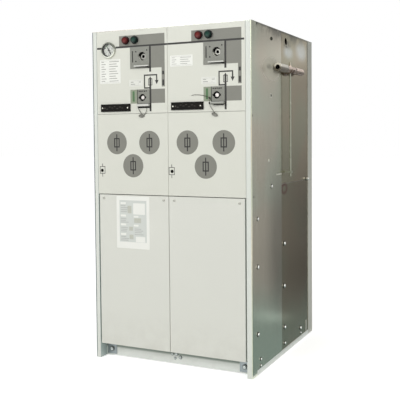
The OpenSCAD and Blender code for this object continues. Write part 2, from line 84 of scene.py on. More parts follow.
# camera at the photograph's angle
cameraSet = {"place": (1.3355, -2.8616, 0.9107), "yaw": 25.75, "pitch": -2.5, "roll": -0.486,
             "lens": 65.19, "sensor": 36, "shiftY": -0.0805, "reach": 100}


def makeCamera(s):
    yaw, lift, roll = (math.radians(s[k]) for k in ("yaw", "pitch", "roll"))
    ahead = Vector((-math.sin(yaw) * math.cos(lift), math.cos(yaw) * math.cos(lift), math.sin(lift)))
    right = Vector((math.cos(yaw), math.sin(yaw), 0))
    up = right.cross(ahead)
    tiltRight = right * math.cos(roll) + up * math.sin(roll)
    tiltUp = up * math.cos(roll) - right * math.sin(roll)
    lensData = bpy.data.cameras.new("camera")
    lensData.lens, lensData.sensor_width, lensData.shift_y = s["lens"], s["sensor"], s["shiftY"]
    lensData.clip_end = s["reach"]
    cam = addObject("camera", lensData)
    turn = Matrix((tiltRight, tiltUp, -ahead)).transposed().to_quaternion()
    cam.matrix_world = Matrix.LocRotScale(Vector(s["place"]), turn, None)
    bpy.context.scene.camera = cam


makeCamera(cameraSet)


# shader helpers
def feed(tree, node, inputs):  # links a socket, sets anything else on the node's own socket
    for key, value in inputs.items():
        if isinstance(value, bpy.types.NodeSocket):
            tree.links.new(value, node.inputs[key])
        else:
            node.inputs[key].default_value = value


def put(tree, kind, inputs=None, **props):
    made = tree.nodes.new("ShaderNode" + kind)
    for key, value in props.items():
        setattr(made, key, value)
    feed(tree, made, inputs or {})
    return made


def calc(tree, how, a, b=0.0, c=0.0, clamp=False):
    return put(tree, "Math", {0: a, 1: b, 2: c}, operation=how, use_clamp=clamp).outputs[0]


def times(tree, a, b, plus=None):
    return calc(tree, "MULTIPLY", a, b) if plus is None else calc(tree, "MULTIPLY_ADD", a, b, plus)


def vec(tree, how, *terms):
    made = put(tree, "VectorMath", dict(enumerate(terms)), operation=how)
    return made.outputs["Value" if how in ("DISTANCE", "DOT_PRODUCT", "LENGTH") else "Vector"]


def fade(tree, value, low, high):  # smooth 0 to 1 between two values
    return put(tree, "MapRange", {"Value": value, "From Min": low, "From Max": high},
               interpolation_type="SMOOTHSTEP").outputs["Result"]


def ramp(tree, value, low, high, start=0.0, end=1.0):  # straight from low to high
    return put(tree, "MapRange", {"Value": value, "From Min": start, "From Max": end, "To Min": low,
                                  "To Max": high}).outputs["Result"]


def blendColour(tree, share, a, b):
    return put(tree, "Mix", {0: share, 6: a, 7: b}, data_type="RGBA").outputs[2]


def blendValue(tree, share, a, b):
    return put(tree, "Mix", {0: share, 2: a, 3: b}).outputs[0]


def here(tree):  # place on the part in metres
    return put(tree, "TexCoord").outputs["Object"]


def parts(tree, vector):
    return put(tree, "SeparateXYZ", {"Vector": vector}).outputs


def facing(tree):
    return parts(tree, put(tree, "NewGeometry").outputs["Normal"])


def noise(tree, at, scale, detail=2, rough=0.5):
    return put(tree, "TexNoise", {"Vector": at, "Scale": scale, "Detail": detail, "Roughness": rough}).outputs[0]


def centred(tree, value):  # noise as a change to either side
    return calc(tree, "SUBTRACT", value, 0.5)


def newGroup(name, ins, outs):
    kinds = {"c": "NodeSocketColor", "f": "NodeSocketFloat", "v": "NodeSocketVector"}
    group = bpy.data.node_groups.new(name, "ShaderNodeTree")
    for label, kind, value in ins:
        group.interface.new_socket(label, in_out="INPUT", socket_type=kinds[kind]).default_value = value
    for label, kind in outs:
        group.interface.new_socket(label, in_out="OUTPUT", socket_type=kinds[kind])
    return group, group.nodes.new("NodeGroupInput").outputs, group.nodes.new("NodeGroupOutput")


def makeToneDrift():  # slow change of tone over a surface
    g, i, o = newGroup("toneDrift", [("Color", "c", midGrey), ("Amount", "f", 0.03), ("Scale", "f", 4.0)],
                       [("Color", "c")])
    cloud = noise(g, here(g), i["Scale"], detail=5, rough=0.6)
    lift = times(g, centred(g, cloud), times(g, i["Amount"], 2), 1.0)
    feed(g, o, {"Color": put(g, "VectorMath", {0: i["Color"], "Scale": lift}, operation="SCALE").outputs[0]})
    return g


def makePaintPeel():  # fine texture of a sprayed coat
    g, i, o = newGroup("paintPeel", [("Scale", "f", 420.0), ("Rough", "f", 0.4), ("Spread", "f", 0.08)],
                       [("Rough", "f"), ("Height", "f")])
    at = here(g)
    rub = noise(g, at, 9, detail=6, rough=0.65)
    drift = times(g, centred(g, rub), times(g, i["Spread"], 2))
    feed(g, o, {"Rough": calc(g, "ADD", i["Rough"], drift), "Height": noise(g, at, i["Scale"])})
    return g


streakSet = {"drawn": (60, 60, 1.2), "streakScale": 3, "warpScale": 60, "warp": 0.008, "patchScale": 190,
             "cloudScale": 2.2, "hueScale": 3.2, "hue": (0.38, 0.62), "patchRough": 0.02, "streakRough": 0.04,
             "dentScale": 5, "streakHeight": 0.004}


def makeSheetStreak(s):  # rolled sheet: upright streaks, crystal patches and slow clouds
    g, i, o = newGroup("sheetStreak",
                       [("Dark", "c", midGrey), ("Light", "c", midGrey), ("Streak", "f", 0.4),
                        ("Patch", "f", 0.3), ("Cloud", "f", 0.6), ("Rough", "f", 0.35),
                        ("TintA", "c", white), ("TintB", "c", white)],
                       [("Color", "c"), ("Rough", "f"), ("Height", "f")])
    at = here(g)
    drawn = put(g, "Mapping", {"Vector": at, "Scale": s["drawn"]}).outputs[0]
    streak = noise(g, drawn, s["streakScale"], detail=4, rough=0.6)
    warp = put(g, "TexNoise", {"Vector": at, "Scale": s["warpScale"], "Detail": 2}).outputs["Color"]
    bent = vec(g, "MULTIPLY_ADD", warp, (s["warp"],) * 3, at)
    patch = put(g, "TexVoronoi", {"Vector": bent, "Scale": s["patchScale"]}).outputs["Color"]
    patchTone = put(g, "SeparateColor", {"Color": patch}).outputs[0]
    cloud = noise(g, at, s["cloudScale"], detail=3)
    share = 0.5
    for part, weight in ((streak, i["Streak"]), (patchTone, i["Patch"]), (cloud, i["Cloud"])):
        share = times(g, centred(g, part), weight, share)
    share = calc(g, "MAXIMUM", calc(g, "MINIMUM", share, 1.0), 0.0)
    plain = blendColour(g, share, i["Dark"], i["Light"])
    hue = fade(g, noise(g, at, s["hueScale"], detail=1), *s["hue"])
    dull = times(g, centred(g, patchTone), s["patchRough"], i["Rough"])
    feed(g, o, {"Color": vec(g, "MULTIPLY", plain, blendColour(g, hue, i["TintA"], i["TintB"])),
                "Rough": times(g, centred(g, streak), s["streakRough"], dull),
                "Height": times(g, streak, s["streakHeight"], noise(g, at, s["dentScale"], detail=1))})
    return g


def makeEdgeSoft():  # rounds the look of an edge and masks it
    g, i, o = newGroup("edgeSoft", [("Radius", "f", 0.001)], [("Normal", "v"), ("Edge", "f")])
    soft = put(g, "Bevel", {"Radius": i["Radius"]}, samples=4).outputs[0]
    turn = vec(g, "DOT_PRODUCT", soft, put(g, "NewGeometry").outputs["Normal"])
    feed(g, o, {"Normal": soft, "Edge": fade(g, turn, 0.99, 0.85)})
    return g


def makeFootDustAndLight():  # dust that settles towards the floor; the posts use it with a pale tone as a painted floor light at their foot
    g, i, o = newGroup("footDustAndLight", [("Color", "c", midGrey), ("FootTone", "c", midGrey), ("Top", "f", 0.25),
                                    ("Amount", "f", 0.3)], [("Color", "c"), ("Mask", "f")])
    at = here(g)
    fall = calc(g, "SUBTRACT", 1.0, calc(g, "DIVIDE", parts(g, at)["Z"], i["Top"]), clamp=True)
    grit = fade(g, noise(g, at, 22, detail=8, rough=0.7), 0.35, 0.7)
    mask = times(g, times(g, fall, grit), i["Amount"])
    feed(g, o, {"Color": blendColour(g, mask, i["Color"], i["FootTone"]), "Mask": mask})
    return g


def makeRubLines():  # hairline scratches in several directions
    g, i, o = newGroup("rubLines", [("Scale", "f", 90.0), ("Amount", "f", 0.5)], [("Mask", "f")])
    at = here(g)
    mask = 0.0
    for turn in ((0.3, 0.9, 0.2), (1.2, 0.1, 0.8), (0.7, 2.0, 1.4)):
        drawn = put(g, "Mapping", {"Vector": at, "Rotation": turn, "Scale": (1, 14, 14)}).outputs[0]
        mask = calc(g, "MAXIMUM", mask, fade(g, noise(g, drawn, i["Scale"]), 0.64, 0.72))
    feed(g, o, {"Mask": times(g, mask, i["Amount"])})
    return g


def makeGrimeSpot():  # broken smudge of dirt or rust at one place
    g, i, o = newGroup("grimeSpot", [("At", "v", (0, 0, 0)), ("Size", "v", (0.1, 0.1, 0.1)),
                                     ("Grain", "f", 60.0), ("Amount", "f", 0.5), ("Cover", "f", 0.0),
                                     ("Ring", "f", 0.0)], [("Mask", "f")])
    at = here(g)
    far = vec(g, "LENGTH", vec(g, "DIVIDE", vec(g, "SUBTRACT", at, i["At"]), i["Size"]))
    far = calc(g, "ABSOLUTE", calc(g, "SUBTRACT", far, i["Ring"]))
    grit = fade(g, noise(g, at, i["Grain"], detail=4, rough=0.6), 0.42, 0.6)
    mask = times(g, fade(g, far, 1.0, 0.2), calc(g, "MAXIMUM", grit, i["Cover"]))
    feed(g, o, {"Mask": times(g, mask, i["Amount"])})
    return g


toneDrift, paintPeel, sheetStreak = makeToneDrift(), makePaintPeel(), makeSheetStreak(streakSet)
edgeSoft, footDustAndLight, rubLines, grimeSpot = makeEdgeSoft(), makeFootDustAndLight(), makeRubLines(), makeGrimeSpot()
print("shader groups made")


# material builders
def startMaterial(name):
    mat = bpy.data.materials.new(name)
    mat.use_nodes = True
    return mat, mat.node_tree, mat.node_tree.nodes["Principled BSDF"]


def use(tree, group, inputs):
    return put(tree, "Group", inputs, node_tree=group).outputs


def softened(tree, radius):
    return use(tree, edgeSoft, {"Radius": radius * mm})


def drifted(tree, colour, amount, scale):
    return use(tree, toneDrift, {"Color": colour, "Amount": amount, "Scale": scale})["Color"]


def peeled(tree, scale, rough, spread):
    return use(tree, paintPeel, {"Scale": scale, "Rough": rough, "Spread": spread})


def rubbed(tree, scale, amount):
    return use(tree, rubLines, {"Scale": scale, "Amount": amount})["Mask"]


def dustAndFootLight(tree, colour, dust, top, amount):
    return use(tree, footDustAndLight, {"Color": colour, "FootTone": dust, "Top": top, "Amount": amount})


def raised(tree, height, strength, distance, normal=None):
    feeds = {"Height": height, "Strength": strength, "Distance": distance}
    if normal is not None:
        feeds["Normal"] = normal
    return put(tree, "Bump", feeds).outputs[0]


def finishCoat(tree, shader, base, grain, bump, depth, normal=None):
    feed(tree, shader, {"Base Color": base, "Roughness": grain["Rough"],
                        "Normal": raised(tree, grain["Height"], bump, depth, normal)})


paintSet = {"edge": 0.8, "driftScale": 3.5, "dust": tone(176, 172, 160), "dustTop": 0.22, "worn": 1.12,
            "wornShare": 0.35, "peel": (420, 0.42, 0.1), "bump": 0.12, "depth": 0.0002}


def paintCoat(name, colour, drift=0.025, dust=0.25, darkAbove=None, s=paintSet):
    mat, tree, shader = startMaterial(name)
    soft = softened(tree, s["edge"])
    base = drifted(tree, colour, drift, s["driftScale"])
    base = dustAndFootLight(tree, base, s["dust"], s["dustTop"], dust)["Color"]
    if darkAbove:  # darker tone that fades in between two heights and stays above them
        low, high, aboveTone = darkAbove
        base = blendColour(tree, fade(tree, parts(tree, here(tree))["Z"], low, high), base, aboveTone)
    base = blendColour(tree, times(tree, soft["Edge"], s["wornShare"]), base, brighter(colour, s["worn"]))
    finishCoat(tree, shader, base, peeled(tree, *s["peel"]), s["bump"], s["depth"], soft["Normal"])
    return mat


sheetSet = {"edge": 0.6, "dust": tone(150, 146, 136), "dustTop": 0.3, "dustAmount": 0.2, "dustMetal": 0.6,
            "rub": (30, 0.08), "dent": 0.06, "depth": 0.004,
            "streaks": {"Streak": 0.5, "Patch": 0.12, "Cloud": 0.5, "TintA": (1.05, 0.98, 0.95, 1),
                        "TintB": (0.96, 1.02, 0.99, 1)}}


def streaked(tree, dark, light, rough):
    return use(tree, sheetStreak, {"Dark": dark, "Light": light, "Rough": rough, **sheetSet["streaks"]})


def rolledSheet(name, dark, light, rough=0.22, spots=(), s=sheetSet):
    mat, tree, shader = startMaterial(name)
    soft = softened(tree, s["edge"])
    sheet = streaked(tree, dark, light, rough)
    dusty = dustAndFootLight(tree, sheet["Color"], s["dust"], s["dustTop"], s["dustAmount"])
    base = blendColour(tree, rubbed(tree, *s["rub"]), dusty["Color"], light)
    metal = calc(tree, "SUBTRACT", 1.0, times(tree, dusty["Mask"], s["dustMetal"]))
    gloss = sheet["Rough"]
    for spot in spots:
        mask = use(tree, grimeSpot, spot["sockets"])["Mask"]
        base = blendColour(tree, mask, base, spot["colour"])
        if spot["dull"]:  # rubbed rough
            metal = times(tree, metal, calc(tree, "SUBTRACT", 1.0, mask))
            gloss = blendValue(tree, mask, gloss, spot["dull"])
    feed(tree, shader, {"Base Color": base, "Roughness": gloss, "Metallic": metal,
                        "Normal": raised(tree, sheet["Height"], s["dent"], s["depth"], soft["Normal"])})
    return mat


bareSet = {"edge": 0.5, "driftScale": 45, "bright": 1.35, "edgeShare": 0.5, "grain": 4, "spread": 0.12,
           "bump": 0.08, "depth": 0.0001}


def bareMetal(name, colour, rough, scratch=0.4, drift=0.12, fine=220, s=bareSet):
    mat, tree, shader = startMaterial(name)
    soft = softened(tree, s["edge"])
    base = drifted(tree, colour, drift, s["driftScale"])
    worn = calc(tree, "MAXIMUM", rubbed(tree, fine, scratch), times(tree, soft["Edge"], s["edgeShare"]))
    base = blendColour(tree, worn, base, brighter(colour, s["bright"]))
    feed(tree, shader, {"Metallic": 1.0})
    grain = peeled(tree, fine * s["grain"], rough, s["spread"])
    finishCoat(tree, shader, base, grain, s["bump"], s["depth"], soft["Normal"])
    return mat


mouldSet = {"edge": 0.5, "driftScale": 60, "pale": (1.6, 0.01), "paleShare": 0.4, "grain": 1500, "spread": 0.12,
            "bump": 0.15, "depth": 0.0001}


def moulded(name, colour, rough, drift=0.08, coat=0.0, gloss=0.5, s=mouldSet):
    mat, tree, shader = startMaterial(name)
    soft = softened(tree, s["edge"])
    base = drifted(tree, colour, drift, s["driftScale"])
    base = blendColour(tree, times(tree, soft["Edge"], s["paleShare"]), base, brighter(colour, *s["pale"]))
    feed(tree, shader, {"Coat Weight": coat, "Specular IOR Level": gloss})
    grain = peeled(tree, s["grain"], rough, s["spread"])
    finishCoat(tree, shader, base, grain, s["bump"], s["depth"], soft["Normal"])
    return mat


printSet = {"grain": 600, "spread": 0.08, "bump": 0.05, "depth": 0.0001}


def printed(name, colour, rough=0.5, drift=0.06, scale=35, s=printSet):
    mat, tree, shader = startMaterial(name)
    grain = peeled(tree, s["grain"], rough, s["spread"])
    finishCoat(tree, shader, drifted(tree, colour, drift, scale), grain, s["bump"], s["depth"])
    return mat


def spotAt(y, z, wide, tall, grain, amount, colour, cover=0.0, ring=0.0, dull=None, x=0.348, deep=0.1):
    return {"sockets": {"At": (x, y, z), "Size": (deep, wide, tall), "Grain": grain, "Amount": amount,
                        "Cover": cover, "Ring": ring}, "colour": colour, "dull": dull}


spotSet = {  # on the right side: dark soiling along the top, dark patches at the rear top and round the lifting hole, rust, a rubbed dull patch, two pale painted reflections, a painted dark reflection of the lever collar and a painted shade low on the front sheet
    "top": spotAt(0.0, 1.34, 0.42, 0.065, 16, 0.7, tone(62, 62, 54)),
    "edge": spotAt(0.0, 1.338, 1.4, 0.015, 20, 0.85, tone(60, 62, 56), cover=0.7),
    "corner": spotAt(-0.33, 1.333, 0.05, 0.024, 50, 0.85, tone(60, 62, 56), cover=0.3),
    # two pale painted reflections near the top of the upper sheet
    "wipeA": spotAt(0.05, 1.257, 0.085, 0.036, 30, 0.6, tone(206, 214, 216), cover=0.8),
    "wipeB": spotAt(0.225, 1.276, 0.105, 0.055, 30, 0.6, tone(206, 214, 216), cover=0.8),
    "rear": spotAt(0.335, 1.295, 0.045, 0.07, 40, 0.8, tone(66, 74, 72), cover=0.5),
    "hole": spotAt(0.035, 1.288, 0.06, 0.024, 55, 0.85, tone(54, 56, 50), cover=0.2),
    "rust": spotAt(-0.006, 0.69, 0.0155, 0.0095, 75, 0.95, tone(104, 50, 40), cover=0.7, ring=1.9, x=0.346),
    "scuff": spotAt(-0.162, 1.172, 0.12, 0.055, 20, 0.85, tone(184, 182, 166), cover=1.0, dull=0.6),
    # painted dark reflection of the lever collar, then a painted shade low on the front sheet
    "smudge": spotAt(-0.1865, 1.18, 0.034, 0.016, 60, 0.6, tone(84, 84, 74), cover=0.7),
    "dim": spotAt(-0.065, 0.47, 0.2, 0.42, 20, 0.6, tone(120, 118, 104), cover=1.0),
}


def spotsOf(names):
    return [spotSet[name] for name in names.split()]


finishes = {
    "panel": paintCoat("panel paint", tone(216, 217, 206)),
    "door": paintCoat("door paint", tone(217, 218, 209)),
    # beam: painted shadow of the covers along its top
    "beam": paintCoat("beam paint", tone(240, 244, 238), drift=0.03, dust=0.12,
                      darkAbove=(0.032, 0.042, tone(150, 162, 152))),
    # rear post: darker towards the top
    "rearPost": paintCoat("rear post paint", tone(204, 205, 195), darkAbove=(0.3, 1.35, tone(168, 170, 160))),
    "sheetFront": rolledSheet("front side sheet", tone(170, 170, 155), tone(210, 209, 193), rough=0.24,
                              spots=spotsOf("top edge corner dim scuff smudge")),
    "sheetUpper": rolledSheet("upper side sheet", tone(143, 136, 114), tone(175, 167, 142),
                              spots=spotsOf("top wipeA wipeB edge rear hole rust")),
    "sheetLower": rolledSheet("lower side sheet", tone(125, 119, 99), tone(157, 151, 127),
                              spots=spotsOf("rust")),
    "sheetRear": rolledSheet("rear sheet", tone(176, 177, 170), tone(214, 214, 206)),
    "bracket": bareMetal("bracket zinc", tone(146, 154, 156), rough=0.42, scratch=0.5),
    "bolt": bareMetal("bolt zinc", tone(236, 236, 231), rough=0.25),
    "plug": bareMetal("plug zinc", tone(206, 206, 194), rough=0.45),
    # dark tone: painted shadow round the side bolts, and the crimp sleeves
    "washer": bareMetal("painted bolt shadow and crimps", tone(74, 74, 68), rough=0.5),
    "footBolt": bareMetal("foot bolt zinc", tone(184, 190, 188), rough=0.45),
    # darker rings below the base bolt heads: painted shadow
    "footBoltShadow": bareMetal("painted foot bolt shadow", tone(116, 122, 120), rough=0.5),
    "coverScrew": bareMetal("cover screw zinc", tone(170, 170, 162), rough=0.4),
    "tank": bareMetal("tank steel", tone(170, 170, 166), rough=0.4, fine=40),
    "dark": moulded("dark coating", tone(20, 20, 19), rough=0.6, gloss=0.2),
    "collar": moulded("collar plastic", tone(30, 30, 29), rough=0.55, gloss=0.25),
    "black": moulded("black plastic", tone(12, 10, 6), rough=0.5, drift=0.4, gloss=0.12),
    "resin": moulded("bushing resin", tone(120, 70, 52), rough=0.35, coat=0.4),
    "fieldGrey": printed("grey print", tone(127, 127, 118)),
    "ink": printed("black print", tone(27, 26, 22)),
    "softInk": printed("soft print", tone(150, 150, 144), drift=0.15),
    "faintInk": printed("faint print", tone(58, 53, 44), drift=0.3),
    "greenFlag": printed("green print", tone(140, 148, 128)),
    "greenBar": printed("dark green print", tone(72, 110, 68)),
    "paper": printed("paper", tone(236, 237, 230), rough=0.45, drift=0.015),
    "tagPaper": printed("tag paper", tone(225, 226, 218), rough=0.45, drift=0.03),
    "noticeGrey": printed("notice grey", tone(208, 212, 206), drift=0.05, scale=18),
    "noticeRow": printed("notice rows", tone(184, 186, 181), drift=0.1),
    "noticeBlock": printed("notice blocks", tone(190, 192, 180), drift=0.12),
    "dial": printed("dial", tone(238, 239, 232), rough=0.4, drift=0.01),
    "dialGreen": printed("dial green", tone(60, 128, 62)),
}


# corner is a painted dark reflection on the left post's rounded corner, foot a paler painted floor light at the
# post's foot
postSet = {"steel": (tone(170, 170, 155), tone(210, 209, 193), 0.24), "paint": tone(218, 222, 214),
           "drift": (0.02, 3.5), "outward": {"left": -1.0, "right": 1.0},
           "bareTurn": {"left": (0.06, 0.2), "right": (0.25, 0.5)}, "rolled": (7.4, 5.4),
           "corner": tone(78, 92, 96), "cornerTurn": (0.995, 0.97), "inner": tone(186, 202, 198),
           "innerTurn": (-0.25, -0.5), "foot": (tone(226, 228, 222), 0.03, 0.6), "bump": 0.1}


def makePostCoat(side, s):  # paint on the front, bare sheet where the post turns to the side, a painted dark reflection on the left post's rounded corner and a paler painted floor light at the foot
    mat, tree, shader = startMaterial("post paint " + side)
    soft = softened(tree, paintSet["edge"])
    outward = times(tree, facing(tree)["X"], s["outward"][side])
    bare = fade(tree, outward, *s["bareTurn"][side])
    steel, peel = streaked(tree, *s["steel"]), peeled(tree, *paintSet["peel"])
    metal = steel["Color"]
    if side == "left":  # bare where the sheet is rolled, with a painted dark reflection on the rounded corner
        across = parts(tree, here(tree))["X"]
        bare = calc(tree, "MAXIMUM", bare, fade(tree, across, *(leftEdge + v * mm for v in s["rolled"])))
        metal = blendColour(tree, fade(tree, outward, *s["cornerTurn"]), metal, s["corner"])
    base = blendColour(tree, bare, drifted(tree, s["paint"], *s["drift"]), metal)
    base = blendColour(tree, fade(tree, outward, *s["innerTurn"]), base, s["inner"])
    # paler painted floor light at the foot
    base = dustAndFootLight(tree, base, *s["foot"])["Color"]
    feed(tree, shader, {"Base Color": base, "Metallic": bare,
                        "Roughness": blendValue(tree, bare, peel["Rough"], steel["Rough"]),
                        "Normal": raised(tree, peel["Height"], s["bump"], paintSet["depth"], soft["Normal"])})
    return mat


# the dull tone is a painted shade on the lower right lip, the dark tone a painted shade on faces that point down
lockSet = {"paint": tone(131, 132, 123), "drift": (0.1, 20), "lip": tone(206, 207, 200), "lipFrom": (3.0, 4.5),
           "under": tone(22, 22, 21), "underTurn": (-0.4, -0.8), "dull": tone(104, 106, 96),
           "lipShadeZ": (1.041, 1.031), "rub": (120, 0.2), "peel": (300, 0.45, 0.1), "bump": 0.3}


def makeLockPlate(s):  # grey padlock plates: bright lip, painted shade towards the bottom of the lower right lip, painted shade on faces that point down
    mat, tree, shader = startMaterial("padlock plate paint")
    soft = softened(tree, paintSet["edge"])
    place = parts(tree, here(tree))
    lip = fade(tree, calc(tree, "SUBTRACT", faceY, place["Y"]), *(v * mm for v in s["lipFrom"]))
    # painted shade towards the bottom of the lower right lip
    dull = times(tree, fade(tree, place["Z"], *s["lipShadeZ"]), calc(tree, "GREATER_THAN", place["X"], 0.0))
    base = drifted(tree, s["paint"], *s["drift"])
    base = blendColour(tree, lip, base, blendColour(tree, dull, s["lip"], s["dull"]))
    # painted shade on faces that point down
    base = blendColour(tree, fade(tree, facing(tree)["Z"], *s["underTurn"]), base, s["under"])
    base = blendColour(tree, rubbed(tree, *s["rub"]), base, s["lip"])
    finishCoat(tree, shader, base, peeled(tree, *s["peel"]), s["bump"], paintSet["depth"], soft["Normal"])
    return mat


def fromAxis(tree, at, node):  # offset and distance from the middle line of a round node
    x, z = middle(node)
    off = vec(tree, "SUBTRACT", vec(tree, "MULTIPLY", at, (1, 0, 1)), (x, 0, z))
    return off, vec(tree, "LENGTH", off)


# shades are a tone and the heights over the bar's middle where it starts and ends to fade in: a painted shade on
# the lower half of the socket and the lever tube, and the own tones of the rod, the stub and the clip;
# gaps are a depth behind the front, half the width and the height where the dark band starts: a painted shadow
# of a hook strap, then a dark joint between tube and grip
boreSet = {
    "switch": {"colour": tone(150, 150, 143), "boreR": 6.2},
    "earth": {"colour": tone(206, 202, 197), "rimR": 6.6},
    "socket": {"colour": tone(240, 235, 221), "boreR": 9.0, "rough": 0.26, "metal": 0.15, "rub": 0.15,
               "shades": ((tone(104, 98, 84), 6.5, -3),)},
    "lever": {"colour": tone(250, 228, 212), "rough": 0.28, "metal": 0.4, "rub": 0.15,
              "shades": ((tone(126, 110, 96), 5, -4), (tone(152, 155, 140), -14.5, -16.5),
                         (tone(172, 166, 150), 15.5, 17.5)),
              "gaps": ((331, 6, 0), (431, 6, -6))},
    "holder": {"colour": tone(120, 108, 97), "rough": 0.36, "metal": 0.6,
               "shades": ((tone(156, 158, 146), 0, -2),)},
    "look": {"edge": 0.5, "drift": (0.14, 45), "boreSoft": (0.4, 0.1), "rimSoft": 0.6, "rimDark": 0.85,
             "gapSoft": 2, "gapRise": 4, "gapDark": 0.85, "gapShadowAndGrime": tone(58, 46, 40), "rubScale": 220,
             "bright": 1.3, "edgeShare": 0.5, "black": tone(8, 8, 8), "grain": 900, "spread": 0.12,
             "bump": 0.08, "depth": 0.0001}}


# bright bar with painted shade in its bore or round its rim
def boredMetal(name, axisNode, colour, boreR=0, rimR=None, rough=0.3, metal=1.0, rub=0.4, shades=(), gaps=()):
    s, midZ = boreSet["look"], middle(axisNode)[1]
    mat, tree, shader = startMaterial(name)
    soft = softened(tree, s["edge"])
    at = here(tree)
    away = fromAxis(tree, at, axisNode)[1]
    if rimR:
        dark = times(tree, fade(tree, away, rimR * mm, (rimR + s["rimSoft"]) * mm), s["rimDark"])
    else:
        dark = fade(tree, away, *((boreR + v) * mm for v in s["boreSoft"]))
    place = parts(tree, at)
    along, high = place["Y"], place["Z"]
    base = drifted(tree, colour, *s["drift"])
    # painted shade on the lower half of socket and tube, and the tones of rod, stub and clip
    for shade, start, end in shades:
        base = blendColour(tree, fade(tree, high, midZ + start * mm, midZ + end * mm), base, shade)
    for depth, half, top in gaps:  # dark bands along the bar: a painted strap shadow and a dark joint
        off = calc(tree, "ABSOLUTE", calc(tree, "SUBTRACT", along, faceY + depth * mm))
        above = fade(tree, high, midZ + top * mm, midZ + (top + s["gapRise"]) * mm)
        band = times(tree, fade(tree, off, (half + s["gapSoft"]) * mm, half * mm), above)
        base = blendColour(tree, times(tree, band, s["gapDark"]), base, s["gapShadowAndGrime"])
    worn = calc(tree, "MAXIMUM", rubbed(tree, s["rubScale"], rub), times(tree, soft["Edge"], s["edgeShare"]))
    base = blendColour(tree, worn, base, brighter(colour, s["bright"]))
    # painted shade in the bore or round the rim
    base = blendColour(tree, dark, base, s["black"])
    feed(tree, shader, {"Metallic": times(tree, dark, -metal, metal)})
    grain = peeled(tree, s["grain"], rough, s["spread"])
    finishCoat(tree, shader, base, grain, s["bump"], s["depth"], soft["Normal"])
    return mat


capSet = {"red": (tone(72, 11, 11), tone(114, 36, 31)), "green": (tone(7, 32, 27), tone(24, 68, 55)),
          "highlightR": (11, 4), "worn": 0.75, "drift": (0.12, 90), "rub": (200, 0.25), "edge": 0.6, "gloss": 0.18,
          "grain": (1500, 0.36, 0.1), "bump": 0.1, "depth": 0.0001}


def makeButtonCap(hue, side, s):  # paler middle on a push button: a painted highlight, with rubbed wear mixed in
    node = hue + "_button_" + side
    (x, z), (colour, centre) = middle(node), s[hue]
    mat, tree, shader = startMaterial(hue + " cap " + side)
    away = vec(tree, "DISTANCE", here(tree), (x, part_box(node)[0].y, z))
    # painted highlight in the middle of the face, darker towards the sides
    worn = fade(tree, away, *(r * mm for r in s["highlightR"]))
    share = calc(tree, "MULTIPLY_ADD", worn, s["worn"], rubbed(tree, *s["rub"]), clamp=True)
    base = blendColour(tree, share, drifted(tree, colour, *s["drift"]), centre)
    feed(tree, shader, {"Specular IOR Level": s["gloss"]})
    soft = softened(tree, s["edge"])
    finishCoat(tree, shader, base, peeled(tree, *s["grain"]), s["bump"], s["depth"], soft["Normal"])
    return mat


# the pale tone is a painted highlight on the bezel's lower right, the dark tone a painted shade on the inner
# wall
caseSet = {"bezel": tone(118, 121, 112), "drift": (0.12, 30), "foot": tone(214, 216, 205),
           "footTo": (0.2, 0, -0.98), "footFrom": (-0.1, 0.9), "inside": tone(46, 48, 44),
           "insideSoft": (0.6, 0.2), "insideRough": 0.6, "grain": (900, 0.24, 0.1)}


def makeGaugeCase(s):  # bezel with a painted highlight on its lower right and painted shade on the inner wall round the dial
    glassLow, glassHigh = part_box("gauge_glass")
    rimR = (glassHigh.x - glassLow.x) / 2
    mat, tree, shader = startMaterial("gauge bezel")
    off, away = fromAxis(tree, here(tree), "gauge_case")
    # painted shade on the inner wall and painted highlight on the lower right
    inside = fade(tree, away, *(rimR + v * mm for v in s["insideSoft"]))
    foot = fade(tree, vec(tree, "DOT_PRODUCT", off, s["footTo"]), *(v * rimR for v in s["footFrom"]))
    base = blendColour(tree, foot, drifted(tree, s["bezel"], *s["drift"]), s["foot"])
    rough = blendValue(tree, inside, peeled(tree, *s["grain"])["Rough"], s["insideRough"])
    feed(tree, shader, {"Base Color": blendColour(tree, inside, base, s["inside"]), "Roughness": rough,
                        "Metallic": calc(tree, "SUBTRACT", 1.0, inside)})
    return mat


# the pale tone is painted light on the floor of the upper wells
guideSet = {"coat": tone(20, 20, 19), "drift": (0.08, 60), "worn": tone(248, 249, 238), "floorTurn": (-0.3, 0.4),
            "fromZ": (1.14, 1.16), "gloss": 0.2, "grain": (1500, 0.6, 0.12), "bump": 0.15, "depth": 0.0001}


def makeGuide(s):  # dark tubes, with painted light on the upward-facing inner wall at the bottom of the upper wells
    mat, tree, shader = startMaterial("guide tube")
    # painted light on the upward-facing inner wall of the upper wells
    floor = fade(tree, facing(tree)["Z"], *s["floorTurn"])
    worn = times(tree, floor, fade(tree, parts(tree, here(tree))["Z"], *s["fromZ"]))
    base = blendColour(tree, worn, drifted(tree, s["coat"], *s["drift"]), s["worn"])
    feed(tree, shader, {"Specular IOR Level": s["gloss"]})
    finishCoat(tree, shader, base, peeled(tree, *s["grain"]), s["bump"], s["depth"])
    return mat


glassSet = {"clear": {"Base Color": (0.97, 0.98, 0.97, 1), "Transmission Weight": 1.0, "IOR": 1.45},
            "smearScale": 60, "smearRough": 0.05}


def makeGlass(s):  # clear, with a faint smear
    mat, tree, shader = startMaterial("gauge glass")
    smear = noise(tree, here(tree), s["smearScale"])
    feed(tree, shader, {**s["clear"], "Roughness": ramp(tree, smear, 0.0, s["smearRough"])})
    return mat


